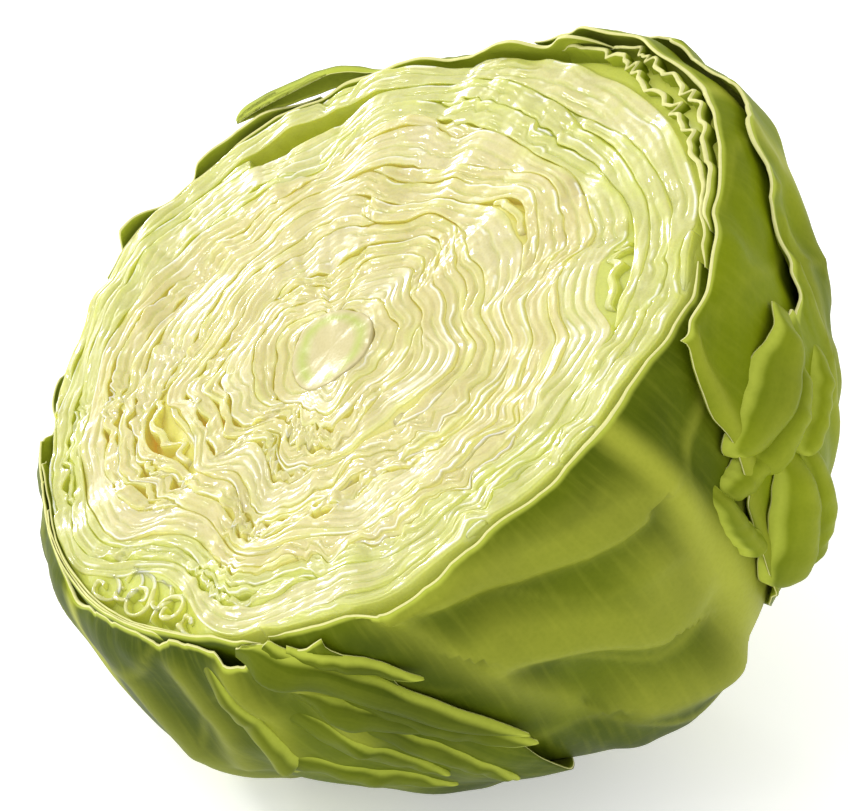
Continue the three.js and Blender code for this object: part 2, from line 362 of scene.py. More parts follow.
WRAPPERS = (
    WrapperPlan(
        start=((0, 52),),
        end=((0, 142),),
        midrib=112,
        top=((0, 0),),
        ridges=(
            Ridge(((71, 2), (80, 5), (89, 9), (98, 12), (106, 12.5)), 3.6, 9, 3.2),
            Ridge(((80, 18), (89, 24), (95, 29), (99, 32)), 4.0, 9, 4.0),
            Ridge(((70, 2), (74, 12), (77, 20), (82, 34)), 1.6, 3.0, 6),
            Ridge(((104, 22), (107, 30)), 2.4, 9, 8),
            Ridge(((90, 42), (104, 47)), 2.4, 9, 5),
        ),
    ),
    WrapperPlan(
        start=((0, 196),),
        end=((0, 302),),
        midrib=248,
        top=((196, 0), (202, -4.5), (209, -1), (215, -4.5), (223, -2), (234, 0), (248, 0.5)),
        tongues=(Tongue(((244, 4, 0.5), (258, 1.5, 2.5), (271, 0.5, 7.5)), 7, 1.2, 0.8, True),),
    ),
    WrapperPlan(
        start=((0, 128), (13, 123), (41, 116)),
        end=((0, 214),),
        midrib=176,
        top=((116, 0), (180, 0), (190, -2), (199, -4), (207, -1), (214, 0)),
        ridges=(Ridge(((129, 2), (125, 12), (121, 26), (117, 41)), 2.2, 3.0, 3.0),),
        plies=((140, 208, 0.05, 0.5, 14), (146, 200, 0.5, 0.45, 12)),
    ),
    WrapperPlan(
        start=((0, 258),),
        end=((0, 332),),
        midrib=300,
        top=((258, 3), (268, 0), (279, -1), (283, 3), (295, -1.5), (298, 4), (322, 1), (332, 5)),
    ),
    WrapperPlan(
        start=((12, 142), (22, 134), (27, 126), (50, 127)),
        end=((0, 206),),
        midrib=168,
        ripple=1.4,
        top=((142, 12), (149, 17), (158, 9), (170, 3), (206, 1)),
        ridges=(
            Ridge(((152, 16), (143, 30), (138, 48)), 1.8, 3, 3),
            Ridge(((158, 14), (150, 28), (146, 48)), 1.6, 3, 3),
            Ridge(((166, 10), (158, 28), (156, 48)), 1.4, 3, 3),
        ),
        tongues=FINGERS,
    ),
    WrapperPlan(
        start=((10, -46), (40, -52)),
        end=((2, 60), (14, 65), (36, 72), (60, 74)),
        midrib=6,
        ripple=1.6,
        top=(
            *((-46, 6), (-34, 2), (-22, -0.5), (-8, -1), (3, -0.5)),
            *((10, 1), (20, 0), (35, 0), (46, 2), (60, 1)),
        ),
        ridges=(
            Ridge(((43, 4), (45, 13), (41, 24)), 2.4, 4, 3),
            Ridge(((50, 4), (54, 12), (54, 22)), 2.2, 4, 3),
            Ridge(((33, 6), (34, 16), (30, 26)), 1.8, 4, 4),
            Ridge(((20, 12), (24, 26), (24, 44)), 1.6, 5, 5),
        ),
        tongues=STRAPS,
        plies=((-24, 46, 0.05, 0.35, 20), (-14, 52, 0.4, 0.35, 15), (-20, 34, 0.72, 0.25, 18)),
    ),
)


@dataclass(frozen=True)
class HeadForm:
    """The shape that all the pieces share: the round head, its cut, its core and its layers.

    Attributes:
        radius: Radius of the round head, in millimetres, as are the sizes below.
        cut_height: How far the cut lies over the middle of the round head.
        lean: Angle of the cut face to the floor.
        lean_towards: The way in which the face looks, as an angle round the world's z.
        face_height: Height of the middle of the cut face over the floor.
        press_reach: How deep the push of the floor is felt.
        least_height: Height under which what nears the floor is squeezed.
        roundness: What part of its radius the head keeps near the cut.
        lobes: Waves of its section near the cut.
        core_at_cut: Radius of the core at the cut.
        core_at_base: The same at the stump.
        stump_length: How far the stump stands out.
        core_offset: Where the core's middle lies on the cut face.
        leaves: How many packed leaves there are.
        heart_share: Share at which they begin.
        packed_share: Share at which they end.
        golden_angle: Angle from a leaf to the next.
        last_midrib: Theta of the last leaf's midrib.
        half_spans: Half of the angle that a leaf spans, for the first and the last.
        margin_slot: Room of a leaf at its margin, against what its neighbours take.
        blade_slot: What its blade adds to that.
        rib_slot: What its midrib adds to that.
        pockets: Wide gaps between the leaves.
        curls: Rolled margins in them.
        body_swells: Where the whole head stands out or in.
        loose_swells: Where its outer leaves stand off.
        wrapper_gap: Gap under a wrapper leaf.
        wrapper_blade: Thickness of its blade.
        wrapper_rib: What its midrib adds to that.
        wrappers: Where the wrapper leaves lie.
    """

    radius: float = 94.0
    cut_height: float = 22.5
    lean: float = 32.71
    lean_towards: float = 199.355
    face_height: float = 107.0
    press_reach: float = 35.0
    least_height: float = 0.3
    roundness: float = 0.955
    lobes: tuple[Lobe, ...] = (Lobe(1, 0.027, -6), Lobe(2, 0.028, -43), Lobe(3, 0.024, 35))
    core_at_cut: float = 7.5
    core_at_base: float = 13.0
    stump_length: float = 2.0
    core_offset: tuple[float, float] = (9.5, 1.6)
    leaves: int = 15
    heart_share: float = 0.12
    packed_share: float = 0.93
    golden_angle: float = 137.5
    last_midrib: float = 190.0
    half_spans: tuple[float, float] = (165.0, 132.0)
    margin_slot: float = 2.0
    blade_slot: float = 2.0
    rib_slot: float = 3.0
    pockets: tuple[Pocket, ...] = POCKETS
    curls: tuple[Curl, ...] = CURLS
    body_swells: tuple[Swell, ...] = (Swell(90, 57, 30, 24, 6.5), Swell(155, 42, 30, 20, -4.5))
    loose_swells: tuple[Swell, ...] = LOOSE_SWELLS
    wrapper_gap: float = 1.1
    wrapper_blade: float = 1.5
    wrapper_rib: float = 3.4
    wrappers: tuple[WrapperPlan, ...] = WRAPPERS

    def to_world(self) -> tuple[Array, Array]:
        """The head frame's turn, as a matrix, and its origin in the world, in millimetres."""
        tilt, round_z = math.radians(self.lean), math.radians(self.lean_towards)
        cos_y, sin_y = math.cos(tilt), math.sin(tilt)
        cos_z, sin_z = math.cos(round_z), math.sin(round_z)
        about_y = np.array([[cos_y, 0, sin_y], [0, 1, 0], [-sin_y, 0, cos_y]])
        about_z = np.array([[cos_z, -sin_z, 0], [sin_z, cos_z, 0], [0, 0, 1]])
        rotation = about_z @ about_y
        centre = rotation @ np.array([0, 0, self.cut_height])
        return rotation, np.array([centre[0], centre[1], self.face_height])

    def skin(self, theta: Array, beta: Array) -> Array:
        """Distance from the middle of the cut face to the round head's skin, in a direction."""
        b = np.radians(beta)
        across = self.cut_height * np.cos(b)
        full = self.cut_height * np.sin(b) + np.sqrt(self.radius**2 - across**2)
        shape = self.roundness - 1 + sum(
            lobe.height * np.cos(lobe.count * np.radians(theta - lobe.at))
            for lobe in self.lobes
        )
        swells = sum(swell.at(theta, beta) for swell in self.body_swells)
        return full * (1 + (1 - smooth(beta, 6, 55)) * shape) + swells

    def wrapper_thickness(self, plan: WrapperPlan, theta: Array, beta: Array) -> Array:
        """Thickness of a wrapper leaf: a blade with a midrib that swells towards the stump."""
        return self.wrapper_blade + self.wrapper_rib * plan.rib(theta, beta)

    def wrapped(self, count: int, theta: Array, beta: Array) -> Array:
        """The outside of the head as a share, once its first wrapper leaves are on."""
        share = np.full(np.broadcast(theta, beta).shape, self.packed_share)
        for plan in self.wrappers[:count]:
            room = self.wrapper_gap + self.wrapper_thickness(plan, theta, beta)
            share = share + plan.presence(theta, beta) * room / self.skin(theta, beta)
        return share

    def unpressed(self, share: Array, theta: Array, beta: Array, lift: Number) -> Array:
        """The place in the world before the flank is pressed flat, in millimetres."""
        t, b = np.radians(theta), np.radians(beta)
        far = share * self.skin(theta, beta)
        shift = np.maximum(0, 1 - share) * (1 + share * np.cos(b))
        point = np.stack(
            np.broadcast_arrays(
                np.cos(b) * np.cos(t) * far + self.core_offset[0] * shift,
                np.cos(b) * np.sin(t) * far + self.core_offset[1] * shift,
                -np.sin(b) * far + lift,
            ),
            axis=-1,
        )
        rotation, origin = self.to_world()
        return point @ rotation.T + origin

    def place(
        self, share: Array, theta: Array, beta: Array, lift: Number = 0.0
    ) -> Array:
        """Places in the world of points given by share, theta and beta.

        Skin that would pass the floor is pushed up to it, and that push fades inwards. The
        lowest heights are squeezed by an exponential, so that nothing passes the floor.

        Args:
            share: Share of the way to the round head's skin.
            theta: Angle round the face.
            beta: Angle below the face.
            lift: Distance along the head's own z that is added.

        Returns:
            Points in millimetres, with one more axis of three.
        """
        point = self.unpressed(share, theta, beta, lift)
        skin = self.wrapped(len(self.wrappers), theta, beta)
        low = self.unpressed(skin, theta, beta, 0.0)[..., 2]
        height = point[..., 2]
        felt = 1 - smooth(height - low, 0, self.press_reach)
        pushed = np.maximum(0, height + np.maximum(0, -low) * felt)
        height = np.where(low < 0, pushed, height)
        least = self.least_height
        squeezed = least * np.exp(np.minimum(0, height / least - 1))
        point[..., 2] = np.where(height < least, squeezed, height)
        return point

    def packed_span(self, k: int) -> tuple[float, float]:
        """A packed leaf's midrib and its half span, in degrees."""
        midrib = self.last_midrib - self.golden_angle * (self.leaves - 1 - k)
        return midrib % 360, mix(*self.half_spans, k / (self.leaves - 1))

    def slot_room(self, k: int, theta: Array) -> Array:
        """Room that a packed leaf takes, against what its neighbours take there."""
        midrib, half = self.packed_span(k)
        off = np.abs(turn(midrib, theta))
        blade = smooth(half - off, 0, 45)
        room = self.margin_slot + self.blade_slot * blade + self.rib_slot * bump(off, 40)
        return room * smooth(half - off, -9, 0)

    def crumpled(self, share: Array, theta: Array) -> Array:
        """Where the leaves are crumpled, from 0 to 1: in clouds, and most on the low side."""
        x, y = self.on_face(share, theta)
        low_side = smooth(np.cos(np.radians(theta - 45)), -0.25, 0.8)
        return smooth(cloud(x, y, 8, 52) + 1.5 * low_side, 0.3, 1.5)

    def on_face(self, share: Array, theta: Array) -> tuple[Array, Array]:
        """About where a place of the cut face lies, in millimetres across it."""
        far = share * self.radius
        return far * np.cos(np.radians(theta)), far * np.sin(np.radians(theta))

    def undulate(self, share: Array, theta: Array) -> Array:
        """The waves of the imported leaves, which move a leaf in and out with its neighbours."""
        room = np.maximum(0, 4 * share * (self.packed_share - share))
        slow = 0.014 * np.sin(np.radians(5 * theta) + 9 * share)
        quick = 0.008 * np.sin(np.radians(9 * theta) - 14 * share)
        x, y = self.on_face(share, theta)
        fine = 0.013 * cloud(x, y, 5, 30) * mix(0.35, 1, self.crumpled(share, theta))
        return share + room * (slow + quick + fine)

    def relief(self, share: Array, theta: Array) -> Array:
        """Height of the cut face over its plane: the leaves have sprung up and sunk in."""
        x, y = self.on_face(share, theta)
        return 1.0 * cloud(x, y, 21, 40) + 0.45 * cloud(x, y, 22, 17) - 1.2

    def stack(self, theta: Array) -> tuple[Array, Array]:
        """Inner and outer share of every packed leaf, stacked from the heart outwards.

        Each border between two leaves is wavy, and both leaves follow it.

        Args:
            theta: Angles round the face, in a row.

        Returns:
            Two arrays of one row for each leaf and one column for each theta.
        """
        slots = np.stack([self.slot_room(k, theta) for k in range(self.leaves)])
        pockets = np.zeros_like(slots)
        for p in self.pockets:
            pockets[p.outside] += p.depth * bump(turn(p.at, theta), p.width)
        unit = (self.packed_share - self.heart_share) / (slots + pockets).sum(0)
        reached = self.heart_share + np.cumsum((slots + pockets) * unit, axis=0)
        inner = np.concatenate([np.full((1, len(theta)), self.heart_share), reached[:-1]])
        outer = inner + slots * unit
        shifts = self.border_waves(theta, np.concatenate([inner, reached[-1:]]), slots * unit)
        return self.undulate(inner + shifts[:-1], theta), self.undulate(outer + shifts[1:], theta)

    def border_waves(self, theta: Array, border: Array, room: Array) -> Array:
        """How far each border between two leaves waves, as a share.

        The waves grow where the leaves are crumpled, and stay within a fifth of the room of the
        leaves on both sides. The first and the last border are smooth.

        Args:
            theta: Angles round the face, in a row.
            border: Share of each border at each theta.
            room: Room of each leaf at each theta, as a share.

        Returns:
            One row for each border.
        """
        shifts = np.zeros_like(border)
        tight = np.minimum(room[:-1], room[1:])
        arc = np.radians(theta) * border * self.radius
        loose = mix(0.12, 1, self.crumpled(border, theta[None, :]))
        for b in range(1, len(border) - 1):
            wave = waves(arc[b], 60 + b, 13) + 0.3 * waves(arc[b], 80 + b, 6)
            shifts[b] = 0.22 * tight[b - 1] * wave * loose[b]
        return shifts

    def core_radius(self, depth: Array) -> Array:
        """Radius of the core at a depth below the cut."""
        end = self.cut_height + self.radius + self.stump_length
        return mix(self.core_at_cut, self.core_at_base, np.clip(depth / end, 0, 1) ** 0.8)

    def base_beta(self, share: Array) -> Array:
        """Beta at which a layer of the head meets the core, found by three rounds of guessing."""
        beta = np.full(np.shape(share), 80.0)
        far = np.asarray(share) * (self.cut_height + self.radius)
        for _ in range(3):
            reach = self.core_radius(far * np.sin(np.radians(beta))) + 0.3
            beta = np.degrees(np.arccos(np.clip(reach / np.maximum(far, 1), 0, 0.97)))
        return beta


# Meshes


def spread_over(grid: Array, **values: Number) -> dict[str, Array]:
    """Named numbers, each spread over the shape of a grid."""
    return {key: np.zeros_like(grid, float) + value for key, value in values.items()}


@dataclass
class Surface:
    """Points on a grid that closes on itself along its rows, with a value of each kind a point.

    Attributes:
        points: Places in the world in millimetres, rows by columns by three.
        values: Named numbers for the materials, rows by columns.
    """

    points: Array
    values: dict[str, Array] = field(default_factory=dict)

    def faces(self) -> Array:
        """Four corners for each face: the rows close on themselves and both ends are capped."""
        rows, columns = self.points.shape[:2]
        index = np.arange(rows * columns).reshape(rows, columns)
        below = np.roll(index, -1, axis=0)
        wall = np.stack([index[:, :-1], index[:, 1:], below[:, 1:], below[:, :-1]], axis=-1)
        first, last = index[:, 0], index[:, -1]
        j = np.arange(rows // 2 - 1)
        start = np.stack([first[j], first[j + 1], first[rows - 2 - j], first[rows - 1 - j]], axis=-1)
        end = np.stack([last[j + 1], last[j], last[rows - 1 - j], last[rows - 2 - j]], axis=-1)
        return np.concatenate([wall.reshape(-1, 4), start, end])


def link(name: str, data: bpy.types.ID) -> bpy.types.Object:
    """A new object at the origin, in the scene's collection."""
    thing = bpy.data.objects.new(name, data)
    bpy.context.scene.collection.objects.link(thing)
    return thing


def store(mesh: bpy.types.Mesh, key: str, value: Array) -> None:
    """Keeps a number for each point of a mesh, for its material."""
    data = value.ravel().astype(np.float32)
    mesh.attributes.new(key, "FLOAT", "POINT").data.foreach_set("value", data)


def make_piece(name: str, surfaces: list[Surface]) -> bpy.types.Object:
    """A mesh object in metres from closed surfaces, with their values as point attributes.

    Args:
        name: The piece's name.
        surfaces: What it is made of.

    Returns:
        The new object.
    """
    corners, places, offset = [], [], 0
    for surface in surfaces:
        corners.append(surface.faces() + offset)
        places.append(surface.points.reshape(-1, 3))
        offset += len(places[-1])
    faces = np.concatenate(corners)
    co = np.concatenate(places) * METRES
    mesh = bpy.data.meshes.new(name)
    mesh.vertices.add(len(co))
    mesh.vertices.foreach_set("co", co.astype(np.float32).ravel())
    mesh.loops.add(faces.size)
    mesh.loops.foreach_set("vertex_index", faces.astype(np.int32).ravel())
    mesh.polygons.add(len(faces))
    mesh.polygons.foreach_set("loop_start", np.arange(0, faces.size, 4, dtype=np.int32))
    mesh.polygons.foreach_set("use_smooth", np.ones(len(faces), bool))
    mesh.update(calc_edges=True)
    for key in surfaces[0].values:
        store(mesh, key, np.concatenate([s.values[key].ravel() for s in surfaces]))
    mesh.validate()
    return link(name, mesh)


def settle(piece: bpy.types.Object, nodes: list[str], material: bpy.types.Material) -> None:
    """Dresses a piece, puts it in the place of its CAD nodes and fixes it to the head."""
    piece.data.materials.append(material)
    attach(piece, "root")
    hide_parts(*nodes)
    LOG.info("%s: %d faces", piece.name, len(piece.data.polygons))


# Leaves


@dataclass(frozen=True)
class Strand:
    """A closed blade of a packed leaf, as it shows on the cut face.

    Attributes:
        theta: Angles round the face, in a row.
        inner: Share of its inner wall at each theta, at the cut.
        outer: Share of its outer wall at each theta, at the cut.
        lifts: Height of its outer and its inner edge over the cut plane, in millimetres.
        rib: How much of it is midrib, from 0 to 1.
        seed: Picks its grain and tint.
        fill: Share by which its outer wall moves outwards below the cut, to close a gap there.
        tuck: Share by which the whole blade leans inwards below the cut.
        loosen: How much of the room under the loose leaves its outer wall takes.
        DEPTHS: Depths of its upper rows under its rounded edges, in millimetres.
        DEEPER: The rows below them, from there (0) to the core (1).
        BEVEL: Where the rows of a rounded edge lie, from 0 to 1.
        FLATS: The same for the rows between the two rounded edges.
        ROUNDING: Greatest radius of a rounded edge, in millimetres.
        ROUND_SHARE: Greatest part of the width that a rounded edge takes.
        SEAMS: Distance between the seams on the cut edge, in millimetres.
        SEAM_WIDTH: How wide a seam is, in millimetres.
        STREAKS: Distance between the fine streaks, in millimetres.
        LIFT_FADES: Depth over which a sprung or sunken edge levels out, in millimetres.
    """

    theta: Array
    inner: Array
    outer: Array
    lifts: tuple[Array, Array]
    rib: Array
    seed: int
    fill: Number = 0.0
    tuck: Number = 0.0
    loosen: float = 0.0

    DEPTHS = (0.0, 0.5, 1.2, 2.3, 4.0, 6.2, 9.2, 13.0)
    DEEPER = (0.16, 0.32, 0.5, 0.68, 0.85, 1.0)
    BEVEL = (0.02, 0.1, 0.28, 0.58, 1.0)
    ROUNDING = 0.5
    ROUND_SHARE = 0.42
    FLATS = tuple(round(0.045 + 0.048 * step, 3) for step in range(20))
    SEAMS = 2.7
    SEAM_WIDTH = 0.42
    STREAKS = 2.1
    LIFT_FADES = 5.0

    def width(self, form: HeadForm) -> Array:
        """Its thickness in millimetres at each theta."""
        return np.maximum(0.1, (self.outer - self.inner) * form.radius)

    def rounding(self, form: HeadForm) -> Array:
        """Radius of its rounded cut edges at each theta."""
        return np.minimum(self.ROUNDING, self.ROUND_SHARE * self.width(form))

    def wall(self, form: HeadForm, share: Array, lift: Array, side: float) -> Surface:
        """One wall of the blade, from its rounded edge at the cut down to the core.

        Args:
            form: The head.
            share: The wall's share at each theta.
            lift: Height of this side's cut edge.
            side: 1 on the outside and 0 on the inside.

        Returns:
            The wall's points, row by row downwards.
        """
        far = np.maximum(1, share * form.skin(self.theta, np.zeros_like(self.theta)))
        base = form.base_beta(share)
        start = self.rounding(form)
        deepest = np.maximum(start + 1, 0.55 * np.radians(base) * far)
        steps = np.array(self.DEPTHS)[:, None]
        depths = start + steps * np.minimum(1, (deepest - start) / self.DEPTHS[-1])
        near = np.degrees(depths / far)
        deep = near[-1] + (base - near[-1]) * np.array(self.DEEPER)[:, None]
        beta = np.concatenate([near, deep])
        theta = np.broadcast_to(self.theta, beta.shape)
        depth = np.radians(beta) * far
        below = np.maximum(0, depth - start)
        arc = np.radians(theta) * far
        sway = 0.3 * waves(arc, self.seed, 14, 0.8 * depth) * smooth(below, 0.5, 9)
        spread = np.broadcast_to(share, beta.shape) + sway / form.radius
        spread = spread - self.tuck * smooth(below, 1, 16)
        if side == 1:
            spread = spread + self.fill * smooth(below, 0.1, 1.1 + 24 * self.fill)
            room = sum(swell.at(theta, beta) for swell in form.loose_swells)
            spread = spread + self.loosen * room / form.radius * smooth(below, 0.3, 4)
        values = spread_over(beta, cut=0, depth=below, rib=self.rib, tint=side, glint=0)
        return Surface(form.place(spread, theta, beta, lift * np.exp(-below / self.LIFT_FADES)), values)

    def cap(self, form: HeadForm) -> Surface:
        """The cut edge, from the outer wall to the inner one.

        It is level or slopes from edge to edge, and a quarter circle rounds each of its edges.
        """
        width, radius = self.width(form), self.rounding(form)
        edge = np.array(self.BEVEL)[:, None] * radius / width
        flat = edge[-1] + (1 - 2 * edge[-1]) * np.array(self.FLATS)[:, None]
        across = np.concatenate([edge, flat, 1 - edge[::-1]])
        share = mix(self.outer, self.inner, across)
        outside, inside = across * width, (1 - across) * width
        short = 1 - np.minimum(1, np.minimum(outside, inside) / radius)
        drop = radius * (1 - np.sqrt(1 - short**2))
        x, y = form.on_face(share, self.theta[None, :])
        along_band = np.radians(self.theta) * self.inner * form.radius
        streak = 2 * math.pi * outside / self.STREAKS
        streak = streak + 2.5 * waves(along_band, self.seed + 7, 30, 2 * outside)
        grain = 0.06 * np.sin(streak) + 0.06 * cloud(x, y, self.seed + 8, 5.0)
        phase = (outside + 0.5 * waves(along_band, self.seed + 5, 30, 0.6 * outside)) / self.SEAMS
        line = np.round(phase)
        there = smooth(waves(along_band + 37 * line, self.seed + 6, 45), -0.7, 0.2)
        there = there * smooth(outside, 1.0, 1.8) * smooth(inside, 0.8, 1.6)
        off_seam = (phase - line) * self.SEAMS
        groove = there * np.exp(-((off_seam / self.SEAM_WIDTH) ** 2))
        # Painted highlight: glint lines along the outer edge and beside some seams, which the glint
        # value turns pale, with a small rise.
        painted_glint_mask = smooth(waves(along_band, self.seed + 11, 26), 0.2, 0.4)
        glint = 0.9 * painted_glint_mask * np.exp(-(((outside - 0.55) / 0.22) ** 2))
        painted_glint_mask = smooth(waves(along_band + 37 * line, self.seed + 12, 26), 0.45, 0.65)
        glint = glint + 0.9 * painted_glint_mask * there * np.exp(-(((off_seam - 0.8) / 0.25) ** 2))
        grain = grain - 0.5 * groove + 0.15 * glint
        lift = mix(self.lifts[0], self.lifts[1], across) - drop + grain * (1 - short)
        theta = np.broadcast_to(self.theta, share.shape)
        arc = np.radians(theta) * share * form.radius
        green = smooth(waves(arc, self.seed + 9, 44), -0.7, 0.9)
        tint = green * np.exp(-((outside / 2.0) ** 2)) + 0.6 * (1 - green) * np.exp(-inside / 0.8)
        tint = np.maximum(tint, 0.9 * groove)
        cut, glint = 1 - 0.75 * short**2, np.minimum(glint, 1)
        values = spread_over(share, cut=cut, depth=0, rib=self.rib, tint=tint, glint=glint)
        return Surface(form.place(share, theta, np.zeros_like(share), lift), values)

    def surface(self, form: HeadForm) -> Surface:
        """The whole closed blade: up its outer wall, over the cut and down its inner wall."""
        outer = self.wall(form, self.outer, self.lifts[0], 1.0)
        cap = self.cap(form)
        inner = self.wall(form, self.inner, self.lifts[1], 0.4)
        points = np.concatenate([outer.points[::-1], cap.points, inner.points])
        values = {
            key: np.concatenate([outer.values[key][::-1], cap.values[key], inner.values[key]])
            for key in cap.values
        }
        return Surface(points, values)


def fold_strands(
    leaf: "PackedLeaf",
    theta: Array,
    low: Array,
    start: Number,
    rest: Array,
    present: Array,
    length: float,
    which: int,
) -> list[Strand]:
    """Zigzag folds of thin blade, one for each stretch of theta where they are present.

    A fold's middle line swings as a sine between the walls of the room that is left. It thins
    out and sinks at the ends of its stretch.

    Args:
        leaf: The leaf that the folds belong to.
        theta: Angles round the face, in a row.
        low: Share that the room is measured from.
        start: Distance from there to the room's inner wall, in millimetres.
        rest: Depth of the room, in millimetres.
        present: How much of a fold there is, from 0 to 1.
        length: Wavelength of the zigzag, in millimetres.
        which: Picks the folds' waves.

    Returns:
        The folds.
    """
    inside = np.concatenate([[False], (present > 0.04) & (rest > 0.5), [False]])
    ends = np.flatnonzero(np.diff(inside.astype(int)))
    start = np.broadcast_to(start, theta.shape)
    folds = []
    for number, (a, b) in enumerate(zip(ends[::2], ends[1::2])):
        if b - a < 10:
            continue
        part = slice(a, b)
        seed = 97 * leaf.k + 13 * which + number
        arc = np.radians(theta[part]) * low[part] * leaf.form.radius
        swing = 2 * math.pi * arc / length + 2.2 * waves(arc, seed, 20)
        space = rest[part]
        swung = mix(0.4, 1, smooth(waves(arc, seed + 500, 11), -0.6, 0.6))
        reach = np.maximum(0, space - leaf.fold) / 2 * present[part] * swung
        slope = np.abs(np.cos(swing)) * reach * 2 * math.pi / length
        thick = np.clip(leaf.fold * np.sqrt(1 + slope**2), 0.25, 0.78 * space)
        thick = thick * mix(0.4, 1, smooth(present[part], 0, 0.4))
        middle = start[part] + space / 2 + np.minimum(reach, (space - thick) / 2) * np.sin(swing)
        sunk = -2.2 * (1 - smooth(present[part], 0.0, 0.5)) - 0.2
        base, rib = middle - thick / 2, np.zeros_like(arc)
        folds.append(leaf.strand(theta[part], low[part], base, thick, rib, seed, sunk))
    return folds


